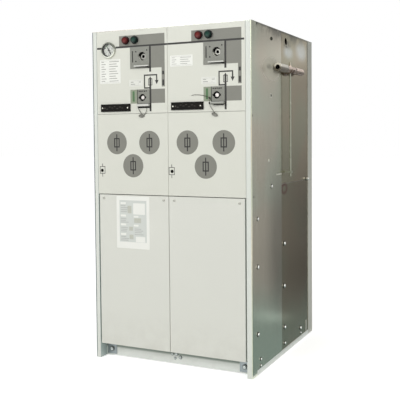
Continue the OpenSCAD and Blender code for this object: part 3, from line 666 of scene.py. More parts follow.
nodeFinish = {
    "panel": ["operating_panel_left", "operating_panel_right", "fuse_cover_left", "fuse_cover_right"],
    "rearPost": ["rear_posts"],
    "door": ["cable_cover_left", "cable_cover_right"],
    "beam": ["base_beams", "base_rails"],
    "sheetFront": ["left_side_front", "right_side_front"],
    "sheetUpper": ["left_side_upper", "right_side_upper", "centre_mullion"],
    "sheetLower": ["left_side_lower", "right_side_lower"],
    "sheetRear": ["rear_upper_panel", "rear_lower_panel", "top_cover"],
    "bracket": ["base_brackets"],
    "dark": ["mechanism_boxes"],
    "collar": ["button_collars"],
    "black": ["voltage_indicators", "trip_indicators"],
    "ink": ["gauge_pointer"],
    "tank": ["gas_tank"],
    "resin": ["cable_bushings"],
}


def dress(node, mat):
    if nodes[node].material_slots:
        nodes[node].material_slots[0].material = mat
    else:
        nodes[node].data.materials.append(mat)


for key, group in nodeFinish.items():
    for node in group:
        dress(node, finishes[key])
lockPlate = makeLockPlate(lockSet)
for node in ("switch_plates", "earth_plates"):
    dress(node, lockPlate)
for side in sides:
    dress(side + "_front_post", makePostCoat(side, postSet))
    for hue in ("red", "green"):
        dress(hue + "_button_" + side, makeButtonCap(hue, side, capSet))
    for kind in ("switch", "earth"):
        node = kind + "_shaft_" + side
        dress(node, boredMetal(node.replace("_", " "), node, **boreSet[kind]))
dress("lever_socket", boredMetal("lever socket", "lever_socket", **boreSet["socket"]))
dress("operating_lever", boredMetal("lever zinc", "lever_socket", **boreSet["lever"]))
dress("lever_holders", boredMetal("holder zinc", "lever_holders", **boreSet["holder"]))
dress("shaft_guides", makeGuide(guideSet))
dress("gauge_case", makeGaugeCase(caseSet))
dress("gauge_glass", makeGlass(glassSet))
print("nodes dressed:", len(bpy.data.materials), "materials")


# mesh helpers: points on the front are millimetres from the left edge and from the floor
def frontPoint(x, z, out=0.0):
    return Vector((leftEdge + x * mm, faceY - out * mm, z * mm))


def addPrism(bm, loop, back, front):
    rows = [[bm.verts.new(frontPoint(x, z, out)) for x, z in loop] for out in (back, front)]
    bm.faces.new(rows[0])
    bm.faces.new(rows[1])
    for k in range(len(loop)):
        n = (k + 1) % len(loop)
        bm.faces.new((rows[0][k], rows[0][n], rows[1][n], rows[1][k]))


def addRing(bm, outer, inner, back, front):
    rows = [[bm.verts.new(frontPoint(x, z, out)) for x, z in loop]
            for out in (back, front) for loop in (outer, inner)]
    for k in range(len(outer)):
        n = (k + 1) % len(outer)
        for a, b in ((0, 1), (1, 3), (3, 2), (2, 0)):
            bm.faces.new((rows[a][k], rows[a][n], rows[b][n], rows[b][k]))


def rect(x0, z0, x1, z1):
    return [(x0, z0), (x1, z0), (x1, z1), (x0, z1)]


def roundRect(x0, z0, x1, z1, r, steps=5):
    loop = []
    corners = ((x1 - r, z1 - r), (x0 + r, z1 - r), (x0 + r, z0 + r), (x1 - r, z0 + r))
    for quarter, (cx, cz) in enumerate(corners):
        for k in range(steps + 1):
            a = math.radians(90 * quarter + 90 * k / steps)
            loop.append((cx + r * math.cos(a), cz + r * math.sin(a)))
    return loop


def circle(cx, cz, r, count=48, start=0.0, sweep=360.0):
    turns = [math.radians(start + sweep * k / count) for k in range(count)]
    return [(cx + r * math.cos(a), cz + r * math.sin(a)) for a in turns]


def addLathe(bm, profile, at, axis, count=24):
    turn = Vector(axis).to_track_quat("Z", "Y").to_matrix()
    rings = []
    for r, h in profile:
        ring = circle(0, 0, r, count) if r else [(0, 0)]
        rings.append([bm.verts.new(at + turn @ Vector((x * mm, y * mm, h * mm))) for x, y in ring])
    for a, b in zip(rings, rings[1:]):
        for k in range(count):
            n = (k + 1) % count
            corners = [a[k % len(a)], a[n % len(a)], b[n % len(b)], b[k % len(b)]]
            bm.faces.new(list(dict.fromkeys(corners)))


def shifted(loop, dx):
    return [(x + dx, z) for x, z in loop]


def toMesh(name, bm, mat):
    mesh = bpy.data.meshes.new(name)
    bm.to_mesh(mesh)
    bm.free()
    mesh.materials.append(mat)
    return mesh


def meshPiece(name, bm, mat):
    bmesh.ops.recalc_face_normals(bm, faces=bm.faces)
    for face in bm.faces:
        face.smooth = False
    piece = addObject(name, toMesh(name, bm, mat))
    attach(piece, "cabinet")


def flatPiece(name, loops, back, front, mat):  # thin shapes on the front as one piece
    bm = bmesh.new()
    for loop in loops:
        addPrism(bm, loop, back, front)
    meshPiece(name, bm, mat)


def cutSheet(name, loops, back, front, mat):  # flat shape with holes, cut from one outline
    curve = bpy.data.curves.new(name, "CURVE")
    curve.dimensions, curve.fill_mode, curve.extrude = "2D", "BOTH", (front - back) / 2 * mm
    for loop in loops:
        line = curve.splines.new("POLY")
        line.points.add(len(loop) - 1)
        line.use_cyclic_u = True
        for point, (x, z) in zip(line.points, loop):
            point.co = (leftEdge + x * mm, z * mm, 0, 1)
    pattern = addObject(name + "_pattern", curve)
    mesh = bpy.data.meshes.new_from_object(pattern.evaluated_get(bpy.context.evaluated_depsgraph_get()))
    bpy.data.objects.remove(pattern)
    mid = faceY - (front + back) / 2 * mm
    mesh.transform(Matrix(((1, 0, 0, 0), (0, 0, -1, mid), (0, 1, 0, 0), (0, 0, 0, 1))))
    bm = bmesh.new()
    bm.from_mesh(mesh)
    bmesh.ops.remove_doubles(bm, verts=bm.verts, dist=1e-6)
    bpy.data.meshes.remove(mesh)
    meshPiece(name, bm, mat)


# printed single-line diagram on the operating panels
diagramSet = {
    "fieldThick": 0.15, "flagThick": 0.25, "barThick": 0.2, "inkThick": 0.35,
    "field": [(130, 1312), (336, 1312), (336, 1105), (322, 1105), (322, 1180), (269, 1180), (269, 1266),
              (130, 1266)],
    "collars": ((162, 1293), (203, 1293)), "collarR": 16.8, "earthField": (269, 1042, 336, 1097),
    "flag": (180, 1042, 213.5, 1097), "flagBar": (190, 1050, 199, 1091, 2),
    "busZ": 1268, "busWide": 7.2, "bus": {"left": ((25, 49), (113, 347.3)), "right": ((348.7, 669),)},
    "lineX": 271, "lineWide": 8, "lineUpper": 1165, "lineLower": (1010, 1138), "symbolWide": 5,
    "loopX": (-26, 29), "loopZ": (1102, 1152), "arrow": (8, 1131, 1115), "blade": (5, 1138, 1147),
    "fuseHalf": 9, "fuseWall": 2.2, "fuseLow": (1111.5, 1114), "fuseHigh": (1136, 1138.5),
    "columnX": (325, 333), "columnMarks": ((1152, 1166), (1110, 1132))}


def makeDiagram(side, s):
    dx, ink = 0 if side == "left" else pitch, s["inkThick"]
    loops = [s["field"]] + [circle(x, z, s["collarR"]) for x, z in s["collars"]]
    cutSheet("grey_field_" + side, [shifted(loop, dx) for loop in loops], 0, s["fieldThick"],
             finishes["fieldGrey"])
    flatPiece("earth_field_" + side, [shifted(rect(*s["earthField"]), dx)], 0, s["fieldThick"],
              finishes["fieldGrey"])
    flatPiece("earth_flag_" + side, [shifted(rect(*s["flag"]), dx)], 0, s["flagThick"], finishes["greenFlag"])
    flatPiece("earth_flag_bar_" + side, [shifted(roundRect(*s["flagBar"]), dx)], s["flagThick"],
              s["flagThick"] + s["barThick"], finishes["greenBar"])
    bm = bmesh.new()
    low, high = s["busZ"] - s["busWide"] / 2, s["busZ"] + s["busWide"] / 2
    x, w, t = s["lineX"] + dx, s["lineWide"] / 2, s["symbolWide"] / 2
    loopA, loopB, (footZ, headZ) = x + s["loopX"][0], x + s["loopX"][1], s["loopZ"]
    (tipHalf, tipTop, tip), (cutHalf, cutLow, cut) = s["arrow"], s["blade"]
    bars = [rect(a, low, b, high) for a, b in s["bus"][side]]
    bars += [rect(x - w, s["lineUpper"], x + w, low), rect(x - w, s["lineLower"][0], x + w, s["lineLower"][1]),
             rect(loopA - t, footZ - t, loopA + t, headZ + t), rect(loopA + t, headZ - t, loopB - t, headZ + t),
             rect(loopB - t, tipTop - 1, loopB + t, headZ + t), rect(loopA + t, footZ - t, x - w, footZ + t),
             [(loopB - tipHalf, tipTop), (loopB, tip), (loopB + tipHalf, tipTop)],
             [(x - cutHalf, cutLow), (x + cutHalf, cutLow), (x, cut)]]
    for a, b in ((x - s["fuseHalf"], x - w), (x + w, x + s["fuseHalf"])):  # small fuse box round the line
        bars += [rect(a, z0, b, z1) for z0, z1 in (s["fuseHigh"], s["fuseLow"])]
    for a in (x - s["fuseHalf"], x + s["fuseHalf"] - s["fuseWall"]):
        bars.append(rect(a, s["fuseLow"][1], a + s["fuseWall"], s["fuseHigh"][0]))
    for bar in bars:
        addPrism(bm, bar, 0, ink)
    for z0, z1 in s["columnMarks"]:
        addPrism(bm, shifted(rect(s["columnX"][0], z0, s["columnX"][1], z1), dx), s["fieldThick"], ink)
    meshPiece("diagram_" + side, bm, finishes["ink"])


# painted shadows round the padlock plates: along the earth plate's left edge, below the lips, along the earth
# lip's fold and within the slot, with small dark marks on the earth plate
plateShadeSet = {"plateThick": 2, "edgeShadow": (212.4, 1036, 214.4, 1097), "edgeShadowThick": 2.3, "barThick": 0.35,
           "lipBar": {"left": (215, 1023.5, 270, 1029.8), "right": (221, 1026.6, 264, 1029.8)},
           "slot": (190.5, 1204.5, 194.5, 1249.5),
           "lipLine": [(207, 1185.8), (240, 1184), (268, 1180.5), (268, 1186), (207, 1186)],
           "foldLine": (215, 1039.2, 268, 1041), "lineThick": 0.3, "marks": 5, "markX": (219, 224),
           "markStep": 8, "markZ": (1088, 1092), "markThick": 0.2}


def makePlateShades(side, s):
    dx, top = 0 if side == "left" else pitch, s["plateThick"]
    shapes = [(rect(*s["edgeShadow"]), 0, s["edgeShadowThick"]), (rect(*s["lipBar"][side]), 0, s["barThick"]),
              (rect(*s["slot"]), 0, s["barThick"])]
    shapes += [(loop, top, top + s["lineThick"]) for loop in (s["lipLine"], rect(*s["foldLine"]))]
    (x0, x1), (z0, z1) = s["markX"], s["markZ"]
    for k in range(s["marks"]):
        step = s["markStep"] * k
        shapes.append((rect(x0 + step, z0 - k % 2, x1 + step, z1), top, top + s["markThick"]))
    bm = bmesh.new()
    for loop, back, front in shapes:
        addPrism(bm, shifted(loop, dx), back, front)
    # the dark coating serves here as painted shadow, and for the small marks
    meshPiece("plate_shades_and_marks_" + side, bm, finishes["dark"])


for side in sides:
    makeDiagram(side, diagramSet)
    makePlateShades(side, plateShadeSet)
print("diagram printed")

# printed fuse discs and the marks round the trip indicators
fuseSet = {"discR": 46.5, "thick": 0.15, "lineThick": 0.35, "line": 2.3, "reach": 34, "boxHalf": 13, "boxUp": 19,
           "places": {"left": ((113.5, 887), (264, 887), (188.5, 795)),
                      "right": ((431.5, 887), (584, 886.5), (508.5, 795))},
           "trip": {"left": (43.5, 775.5), "right": (362.5, 775)}, "tripBox": (12.5, -14, 16), "tripWall": 2,
           "tripLine": 1, "tripReach": (-26, 27)}


def makeFuseMarks(side, s):
    bm, ink = bmesh.new(), bmesh.new()
    low, top, half, box, up = (s[k] for k in ("thick", "lineThick", "line", "boxHalf", "boxUp"))
    for x, z in s["places"][side]:
        addPrism(bm, circle(x, z, s["discR"], 72), 0, low)
        inBox, inUp = box - 2 * half, up - 2 * half
        addRing(ink, rect(x - box, z - up, x + box, z + up),
                rect(x - inBox, z - inUp, x + inBox, z + inUp), low, top)
        for z0, z1 in ((up, s["reach"]), (-s["reach"], -up), (-inUp, inUp)):
            addPrism(ink, rect(x - half, z + z0, x + half, z + z1), low, top)
    x, z = s["trip"][side]
    (wide, foot, head), wall, half = s["tripBox"], s["tripWall"], s["tripLine"]
    addRing(ink, rect(x - wide, z + foot, x + wide, z + head),
            rect(x - wide + wall, z + foot + wall, x + wide - wall, z + head - wall), 0, top)
    for z0, z1 in ((head, s["tripReach"][1]), (s["tripReach"][0], foot)):
        addPrism(ink, rect(x - half, z + z0, x + half, z + z1), 0, top)
    meshPiece("fuse_discs_" + side, bm, finishes["fieldGrey"])
    meshPiece("fuse_symbols_" + side, ink, finishes["ink"])


for side in sides:
    makeFuseMarks(side, fuseSet)

# paper labels with plain ruled rows: box, number of rows, height of a row, paper
labelSet = {"left": ((38, 1125, 135, 1222), 9, 2.5, "paper"), "right": ((360, 1180, 457, 1222), 4, 1.7, "paper"),
            "tag_left": ((175, 1110, 236, 1136), 2, 2.6, "tagPaper"),
            "tag_right": ((493, 1107, 556, 1134), 2, 2.6, "tagPaper")}
rowSet = {"round": 2.5, "thick": 0.2, "rowThick": 0.3, "top": 8, "spare": 10, "inset": 7, "short": 20,
          "second": 44, "uneven": ((7, 13), (11, 17)), "rule": 0.6, "ruleInset": (5, 4)}


def makeLabel(place, s):
    (x0, z0, x1, z1), rows, rowHigh, paper = labelSet[place]
    flatPiece("rating_label_" + place, [roundRect(x0, z0, x1, z1, s["round"])], 0, s["thick"], finishes[paper])
    dashes = []
    for k in range(rows):
        z = z1 - s["top"] - k * (z1 - z0 - s["spare"]) / rows
        longer, shorter = (k * step % most for step, most in s["uneven"])
        ends = ((x0 + s["inset"], x0 + s["short"] + longer), (x0 + s["second"], x1 - s["inset"] - shorter))
        dashes += [rect(a, z - rowHigh, b, z) for a, b in ends]
    side, end = s["ruleInset"]
    dashes += [rect(x0 + side, z - s["rule"], x1 - side, z) for z in (z1 - end, z0 + end)]
    flatPiece("label_rows_" + place, dashes, s["thick"], s["rowThick"], finishes["softInk"])


for place in labelSet:
    makeLabel(place, rowSet)

# notice on the left cable cover: a sheet with plain boxes, rows and blocks
noticeSet = {"sheet": (108, 462, 260, 672, 3), "field": (122, 488, 247, 656), "thick": 0.25, "layer": 0.1,
             "boxes": ((186, 600, 240, 645), (197, 489, 240, 511), (127, 640, 152, 648), (127, 590, 152, 598),
                       (127, 554, 152, 562), (127, 515, 152, 523), (188, 588, 210, 595), (188, 552, 210, 559)),
             "boxRound": (1.5, 3), "rowHigh": 3.2, "uneven": 16,
             "rowsA": (128, 150, 13, (632, 624, 616, 608, 580, 573, 566, 544, 537, 530, 507, 500, 493)),
             "rowsB": (192, 222, 9, (540, 533, 526, 518)),
             "blocks": ((190, 566, 222, 585), (166, 534, 184, 550), (168, 500, 186, 518), (160, 604, 178, 634))}


def makeNotice(s):
    low = s["thick"] + s["layer"]
    top = low + s["layer"]
    flatPiece("notice_sheet", [roundRect(*s["sheet"])], 0, s["thick"], finishes["paper"])
    flatPiece("notice_field", [rect(*s["field"])], s["thick"], low, finishes["noticeGrey"])
    boxes = [roundRect(*box, *s["boxRound"]) for box in s["boxes"]]
    flatPiece("notice_boxes", boxes, low, top, finishes["paper"])
    rows = []
    for x0, x1, step, heights in (s["rowsA"], s["rowsB"]):
        rows += [rect(x0, z, x1 + k * step % s["uneven"], z + s["rowHigh"]) for k, z in enumerate(heights)]
    flatPiece("notice_rows", rows, low, top, finishes["noticeRow"])
    flatPiece("notice_blocks", [rect(*box) for box in s["blocks"]], low, top, finishes["noticeBlock"])


makeNotice(noticeSet)
print("labels and notice placed")

# pressure gauge: dial, scale and green sector behind the glass
gaugeSet = {"dialR": 23.8, "hubR": 2.2, "round": 64, "seat": -2.9, "dialThick": 0.2, "layer": 0.1,
            "bandR": (22, 19), "band": (24, 100, 60), "ticks": 7, "from": 225, "sweep": -270,
            "tickR": (17, 18.5), "tickHalf": 0.25, "mark": (-4, 8, 3, 10.5)}


def makeGauge(s):
    midX, midZ = middle("gauge_case")
    x, z = (midX - leftEdge) / mm, midZ / mm
    dial = s["seat"] + s["dialThick"]
    bm = bmesh.new()
    addRing(bm, *(circle(x, z, s[r], s["round"]) for r in ("dialR", "hubR")), s["seat"], dial)
    meshPiece("gauge_dial", bm, finishes["dial"])
    outer, inner = (circle(x, z, r, *s["band"]) for r in s["bandR"])
    flatPiece("gauge_band", [outer + inner[::-1]], dial, dial + s["layer"], finishes["dialGreen"])
    ticks = []
    near, far, w = *s["tickR"], s["tickHalf"]
    for k in range(s["ticks"]):
        a = math.radians(s["from"] + s["sweep"] * k / (s["ticks"] - 1))
        ca, sa = math.cos(a), math.sin(a)
        ticks.append([(x + r * ca - side * sa, z + r * sa + side * ca)
                      for r, side in ((near, -w), (far, -w), (far, w), (near, w))])
    flatPiece("gauge_scale", ticks, dial + s["layer"], dial + 2 * s["layer"], finishes["softInk"])
    x0, z0, x1, z1 = s["mark"]
    flatPiece("gauge_mark", [rect(x + x0, z + z0, x + x1, z + z1)], dial, dial + 2 * s["layer"], finishes["ink"])


makeGauge(gaugeSet)

# screws: radius and height of each head, and where they are
screwSet = {"cover": (5.2, 2.6), "coverAt": ((49, 662), (325, 661), (372, 661), (647, 659)),
            "indicator": (2.9, 1.4), "indicatorAt": ((50, 1027), (168, 1026.5), (372, 1026.5), (490, 1026.5)),
            "indicatorThick": 4, "plate": (2.6, 1.2), "plateAt": ((208, 1246), (258, 1250), (208, 1208)),
            "plateThick": 2, "rear": (6.0, 1.7), "rearX": (-300, -100, 100, 300),
            "rearZ": (110, 400, 660, 720, 1010, 1300), "rearSeat": 2}
markSet = {"from": (50, 372), "first": (18, 25), "step": 12, "tall": 2, "thick": 0.2, "dot": (11, 1026.5, 3.2),
           "heights": (1022, 1030, 1026, 1031, 1023, 1029, 1025)}


def panHead(bm, at, axis, r, h):
    addLathe(bm, [(0, 0), (r, 0), (r, 0.45 * h), (0.86 * r, 0.8 * h), (0.55 * r, h), (0.42 * r, h),
                  (0.36 * r, 0.4 * h), (0, 0.4 * h)], at, axis, 20)


def screwPiece(name, spots, axis, size, finish):
    bm = bmesh.new()
    for at in spots:
        panHead(bm, at, axis, *size)
    meshPiece(name, bm, finishes[finish])


def makeIndicatorMarks(low, s):  # faint marks between the screws of the black plates
    bm = bmesh.new()
    (a, b), (dotX, dotZ, dotR) = s["first"], s["dot"]
    for x in s["from"]:
        for k, z in enumerate(s["heights"]):
            loop = rect(x + a + s["step"] * k, z, x + b + s["step"] * k + k % 3, z + s["tall"])
            addPrism(bm, loop, low, low + s["thick"])
        addPrism(bm, circle(x + dotX, dotZ, dotR, 16), low, low + s["thick"])
    meshPiece("indicator_marks", bm, finishes["faintInk"])


def makeScrews(s):
    screwPiece("cover_screws", [frontPoint(x, z) for x, z in s["coverAt"]], toFront, s["cover"],
               "coverScrew")
    screwPiece("indicator_screws", [frontPoint(x, z, s["indicatorThick"]) for x, z in s["indicatorAt"]], toFront,
               s["indicator"], "plug")
    makeIndicatorMarks(s["indicatorThick"], markSet)
    screwPiece("plate_screws",
               [frontPoint(x + dx, z, s["plateThick"]) for dx in (0, pitch) for x, z in s["plateAt"]],
               toFront, s["plate"], "dark")
    rearY = cadHigh.y - s["rearSeat"] * mm
    screwPiece("rear_screws", [Vector((x * mm, rearY, z * mm)) for x in s["rearX"] for z in s["rearZ"]], toRear,
               s["rear"], "bolt")


# bolts on the sides and the base: depth behind the front or x, height, size, and how tall the head is
boltSet = {"washerR": 8.5, "washerT": 1.4, "headR": 6.2, "headT": 4.2, "seam": 330,
           "right": ((57, 597, 1, 1), (57, 415, 1.1, 1), (57, 157, 1.15, 1), (85, 55, 0.9, 1), (84, 30, 0.8, 1),
                     (365, 462, 1.3, 1), (362, 285, 1.3, 1), (368, 110, 1.15, 1), (370, 42, 1, 1),
                     (580, 55, 1.1, 1), (582, 33, 0.8, 1), (668, 715, 1, 3.2), (210, 711, 1, 1)),
           "darkened": (216, 1291, 0.9), "screw": (181, 813.5), "patch": (210, 1068), "patchR": 9,
           "patchT": 0.25, "tab": ((270, 751), (327, 757), 1.2), "strip": ((655, 22), (666, 72), 1.5),
           "plugs": ((210, 1068, 5.5), (20, 683, 3), (10, 985, 2.5)), "plugT": (0.4, 0.8, 0.5),
           "left": ((365, 462), (362, 285), (368, 110), (370, 42), (580, 55), (600, 462), (600, 285),
                    (600, 900)),
           "base": ((331, 40, 0.8), (350, 42, 1.0), (344, 24, 0.7), (368, 30, 0.9)),
           "bracketIn": 21.5, "bracket": 1.25}


def hexBolt(heads, washers, at, axis, s, size=1.0, tall=1.0):
    w, t, r = (s[k] * size for k in ("washerR", "washerT", "headR"))
    h = s["headT"] * size * tall
    addLathe(washers, [(0, 0), (w, 0), (w, 0.7 * t), (0.95 * w, t), (0, t)], at, axis, 24)
    addLathe(heads, [(0, t), (r, t), (r, t + 0.45 * h), (0.88 * r, t + 0.75 * h), (0.5 * r, t + 0.95 * h),
                     (0, t + h)], at, axis, 6)


def sidePoint(x, depth, z):  # depth is behind the front face
    return Vector((x, faceY + depth * mm, z * mm))


def addStrip(bm, x, low, high, thick):  # bevelled strip on the right side
    ends = sidePoint(x, *low), sidePoint(x + thick * mm, *high)
    size = ends[1] - ends[0]
    made = bmesh.ops.create_cube(bm, size=1, matrix=Matrix.LocRotScale((ends[0] + ends[1]) / 2, None, size))
    edges = {edge for vert in made["verts"] for edge in vert.link_edges}
    bmesh.ops.bevel(bm, geom=list(edges), offset=0.25 * min(size), segments=2, profile=0.5, affect="EDGES")


def makeRightSide(s):
    front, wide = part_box("right_side_front")[1].x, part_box("right_side_upper")[1].x
    heads, washers = bmesh.new(), bmesh.new()
    for depth, z, size, tall in s["right"]:
        at = sidePoint(front if depth < s["seam"] else wide, depth, z)
        hexBolt(heads, washers, at, toRight, s, size, tall)
    meshPiece("side_bolts_right", heads, finishes["bolt"])
    # bolt at the top front: head and washer both dark, as painted shadow
    depth, z, size = s["darkened"]
    hexBolt(washers, washers, sidePoint(front, depth, z), toRight, s, size)
    # dark rings below the heads: painted shadow round the bolts
    meshPiece("side_bolt_shadows_right", washers, finishes["washer"])
    bm = bmesh.new()
    panHead(bm, sidePoint(front, *s["screw"]), toRight, *screwSet["rear"])
    r, t = s["patchR"], s["patchT"]
    addLathe(bm, [(0, 0), (r, 0), (r, t), (0, t)], sidePoint(front, *s["patch"]), toRight)
    addStrip(bm, front, *s["tab"])
    meshPiece("side_tab_right", bm, finishes["plug"])


def makeLeftSide(s):
    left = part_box("left_side_upper")[0].x
    spots = [sidePoint(left, depth, z) for depth, z in s["left"]]
    screwPiece("side_screws_left", spots, toLeft, screwSet["rear"], "bolt")


def makeBaseBolts(s):
    heads, washers = bmesh.new(), bmesh.new()
    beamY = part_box("base_beams")[0].y
    for x, z, size in s["base"]:
        hexBolt(heads, washers, Vector((leftEdge + x * mm, beamY, z * mm)), toFront, s, size)
    low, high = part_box("base_brackets")
    for x in (low.x + s["bracketIn"] * mm, high.x - s["bracketIn"] * mm):
        hexBolt(heads, washers, Vector((x, low.y, (low.z + high.z) / 2)), toFront, s, s["bracket"])
    meshPiece("base_bolts", heads, finishes["footBolt"])
    # darker rings below the heads: painted shadow round the base bolts
    meshPiece("base_bolt_shadows", washers, finishes["footBoltShadow"])


def makeSidePlugs(s):
    front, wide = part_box("right_side_front")[1].x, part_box("right_side_upper")[1].x
    rim, top, dish = s["plugT"]
    bm = bmesh.new()
    for depth, z, r in s["plugs"]:
        profile = [(0, 0), (r, 0), (r, rim), (r - top, top), (0, dish)]
        addLathe(bm, profile, sidePoint(front, depth, z), toRight, 20)
    meshPiece("side_plugs_right", bm, finishes["black"])
    bm = bmesh.new()
    addStrip(bm, wide, *s["strip"])
    meshPiece("side_strip_right", bm, finishes["rearPost"])


makeScrews(screwSet)
makeRightSide(boltSet)
makeLeftSide(boltSet)
makeBaseBolts(boltSet)
makeSidePlugs(boltSet)
print("screws and bolts set")

# wire seals through the lips of the lower padlock plates: x, z and distance from the panel
sealSet = {"wireR": 0.9, "wire": tone(58, 56, 49), "lead": tone(112, 112, 106),
           "left": [(216, 1034, 7), (219, 1022, 6), (226, 1008, 3), (236, 998, 2), (243, 997, 2),
                    (250, 1003, 3), (257, 1016, 6), (257, 1029, 7)],
           "right": [(452, 1066, 1), (466, 1068, 1.5), (486, 1067, 1.5), (503, 1064, 2), (516, 1060, 3),
                     (527, 1056, 3.5), (530.5, 1047, 5), (529, 1036, 7), (533, 1022, 6), (541, 1009, 4),
                     (549, 998, 2.5)],
           "disc": {"left": (231.5, 993, 6.4, 1.9, 0), "right": (549, 992, 6.4, 2.0, 20)},
           "crimps": ((528.6, 1054, 4.2, 3.2), (529.2, 1035, 7, 2.8)), "crimpAxis": (0.1, 0, -1)}


def smoothPath(points, steps=5):
    pts = [Vector(p) for p in points]
    pts = [pts[0] * 2 - pts[1]] + pts + [pts[-1] * 2 - pts[-2]]
    path = []
    for a, b, c, d in zip(pts, pts[1:], pts[2:], pts[3:]):
        for k in range(steps):
            t = k / steps
            path.append(0.5 * (2 * b + (c - a) * t + (2 * a - 5 * b + 4 * c - d) * t ** 2
                               + (3 * b - a - 3 * c + d) * t ** 3))
    return path + [pts[-2]]


def makeSealWire(side, s):
    path = smoothPath([frontPoint(*p) for p in s[side]])
    curve = bpy.data.curves.new("seal_wire_" + side, "CURVE")
    curve.dimensions, curve.bevel_depth, curve.bevel_resolution = "3D", s["wireR"] * mm, 3
    line = curve.splines.new("POLY")
    line.points.add(len(path) - 1)
    for point, at in zip(line.points, path):
        point.co = (*at, 1)
    curve.use_fill_caps = True
    curve.materials.append(bareMetal("seal wire " + side, s["wire"], rough=0.45))
    wire = addObject("seal_wire_" + side, curve)
    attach(wire, "cabinet")


def makeSeal(side, s):  # lead disc pressed wide over the wire's end
    x, z, r, stretch, tilt = s["disc"][side]
    at = frontPoint(x, z)
    bm = bmesh.new()
    addLathe(bm, [(0, 0), (0.7 * r, 0), (r, 0.25 * r), (r, 0.75 * r), (0.7 * r, r), (0.45 * r, 0.9 * r),
                  (0, 0.9 * r)], at, toFront)
    press = Matrix.Rotation(math.radians(tilt), 4, "Y") @ Matrix.Scale(stretch, 4, (1, 0, 0))
    bmesh.ops.transform(bm, matrix=Matrix.Translation(at) @ press @ Matrix.Translation(-at), verts=bm.verts)
    meshPiece("seal_" + side, bm, bareMetal("seal lead " + side, s["lead"], rough=0.5, drift=0.2))


def makeCrimps(s):  # sleeves that hold the right wire
    bm = bmesh.new()
    for x, z, out, r in s["crimps"]:
        half = [(r, 0.9 * r), (0.7 * r, 1.3 * r), (0, 1.3 * r)]
        profile = [(wide, -up) for wide, up in half[::-1]] + half
        addLathe(bm, profile, frontPoint(x, z, out), s["crimpAxis"], 16)
    meshPiece("seal_crimps_right", bm, finishes["washer"])


for side in sides:
    makeSealWire(side, sealSet)
    makeSeal(side, sealSet)
makeCrimps(sealSet)
print("seals hung")


# studio: lamps are a place, the size of the disc and its power
studioSet = {"floor": {"Base Color": tone(244, 244, 243), "Roughness": 0.9, "Specular IOR Level": 0.1,
                       "Emission Color": white}, "floorHalf": 25, "floorDrop": -0.0005, "floorLift": 0.56,
             "worldDiffuse": 0.5, "aim": (0, 0, 0.7),
             "key": ((-1.7, -4.6, 3.4), 3.0, 108), "fill": ((3.6, -2.6, 2.6), 2.5, 40)}


def seenRays(tree):  # rays that show the bright backdrop
    path = put(tree, "LightPath").outputs
    return calc(tree, "MAXIMUM", path["Is Camera Ray"],
                calc(tree, "MAXIMUM", path["Is Glossy Ray"], path["Is Transmission Ray"]))


def makeStage(s):
    bm = bmesh.new()
    bmesh.ops.create_grid(bm, x_segments=8, y_segments=8, size=s["floorHalf"])
    mat, tree, shader = startMaterial("studio floor")
    feed(tree, shader, {**s["floor"], "Emission Strength": times(tree, seenRays(tree), s["floorLift"])})
    floor = addObject("floor", toMesh("floor", bm, mat))
    floor.location.z = s["floorDrop"]  # just under the rails


def makeWorld(s):
    world = bpy.data.worlds.new("studio")
    bpy.context.scene.world = world
    world.use_nodes = True
    tree = world.node_tree
    level = ramp(tree, seenRays(tree), s["worldDiffuse"], 1.0)
    feed(tree, tree.nodes["Background"], {"Color": white, "Strength": level})


def makeLamp(name, s):
    place, size, power = s[name]
    lampData = bpy.data.lights.new(name, "AREA")
    lampData.shape, lampData.size, lampData.energy = "DISK", size, power
    lamp = addObject(name, lampData)
    lamp.location = place
    lamp.rotation_euler = (Vector(s["aim"]) - Vector(place)).to_track_quat("-Z", "Y").to_euler()


cardSet = {"near": -0.37, "far": 2.6, "inner": 0.355, "outer": 2.8, "lift": 0.004, "high": 2.8, "steps": 12,
           "fan": (0.64, 2.86), "fanEnds": (0.357, 0.385), "shade": (0.3, 0.55), "shadeZ": (0.3, 1.2),
           "backFan": (0.336, 0.32), "back": 0.22, "backZ": (0.4, 0.9), "wall": (0.58, 0.7), "wallZ": 1.2,
           "topZ": (1.25, 1.9), "top": 0.17, "floor": 0.32, "floorNear": 0.95, "floorFar": 1.6,
           "floorY": (0.2, 1.8), "bendZ": 0.05, "teal": (1.0, 1.24, 1.22, 1), "tealY": (1.6, -0.1),
           "smearAt": (0.61, 0.53, 0), "smearR": 0.13, "smear": 0.6,
           "glowAt": (1.17, 1.55), "glowSize": (0.26, 0.2), "glow": 1.25}


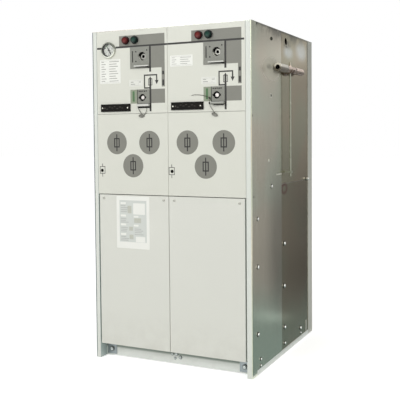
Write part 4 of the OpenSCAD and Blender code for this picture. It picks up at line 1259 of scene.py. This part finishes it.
def makeCardGlow(name, s):  # graded grey of the card
    mat = bpy.data.materials.new(name)
    mat.use_nodes = True
    tree = mat.node_tree
    tree.nodes.remove(tree.nodes["Principled BSDF"])
    place = parts(tree, here(tree))
    wide, back, high = calc(tree, "ABSOLUTE", place["X"]), place["Y"], place["Z"]
    fan = calc(tree, "DIVIDE", calc(tree, "ADD", wide, s["fan"][0]), calc(tree, "ADD", back, s["fan"][1]))
    shade = ramp(tree, fan, blendValue(tree, fade(tree, high, *s["shadeZ"]), *s["shade"]), 1.0, *s["fanEnds"])
    lift = times(tree, fade(tree, fan, *s["backFan"]), fade(tree, high, *s["backZ"]))
    wall = ramp(tree, high, *s["wall"], end=s["wallZ"])
    wall = calc(tree, "SUBTRACT", wall, times(tree, fade(tree, high, *s["topZ"]), s["top"]))
    wall = times(tree, times(tree, wall, shade), times(tree, lift, s["back"], 1.0))
    ground = blendValue(tree, fade(tree, back, *s["floorY"]), s["floorNear"], times(tree, shade, s["floorFar"]))
    smear = vec(tree, "DISTANCE", put(tree, "CombineXYZ", {"X": wide, "Y": back}).outputs[0], s["smearAt"])
    ground = times(tree, ground, s["floor"], times(tree, fade(tree, smear, s["smearR"], 0.0), s["smear"]))
    level = blendValue(tree, fade(tree, high, 0.0, s["bendZ"]), ground, wall)
    offX, offZ = (calc(tree, "DIVIDE", calc(tree, "SUBTRACT", value, at), size)
                  for value, at, size in zip((wide, high), s["glowAt"], s["glowSize"]))
    reach = calc(tree, "SQRT", times(tree, offX, offX, times(tree, offZ, offZ)))
    level = times(tree, fade(tree, reach, 1.0, 0.0), s["glow"], level)
    cool = times(tree, fade(tree, back, *s["tealY"]), fade(tree, high, s["bendZ"], 0.0))
    glow = put(tree, "Emission", {"Color": blendColour(tree, cool, white, s["teal"]), "Strength": level})
    feed(tree, tree.nodes["Material Output"], {"Surface": glow.outputs[0]})
    return mat


def makeCard(side, s):  # grey card beside and behind the cabinet that only the bare metal mirrors
    name, out = "grey_card_" + side, -1 if side == "left" else 1
    bm = bmesh.new()
    rows = [(s["near"] + (s["far"] - s["near"]) * k / s["steps"], s["lift"]) for k in range(s["steps"])]
    rows += [(s["far"], s["high"] * k / s["steps"]) for k in range(s["steps"] + 1)]
    pairs = [[bm.verts.new((out * x, y, z)) for x in (s["inner"], s["outer"])] for y, z in rows]
    for a, b in zip(pairs, pairs[1:]):
        bm.faces.new((a[0], a[1], b[1], b[0]))
    card = addObject(name, toMesh(name, bm, makeCardGlow(name, s)))
    card.visible_camera = card.visible_diffuse = card.visible_transmission = card.visible_shadow = False


makeStage(studioSet)
makeWorld(studioSet)
for side in sides:
    makeCard(side, cardSet)
for name in ("key", "fill"):
    makeLamp(name, studioSet)
bpy.context.scene.view_settings.view_transform = "Standard"
print("studio lit")
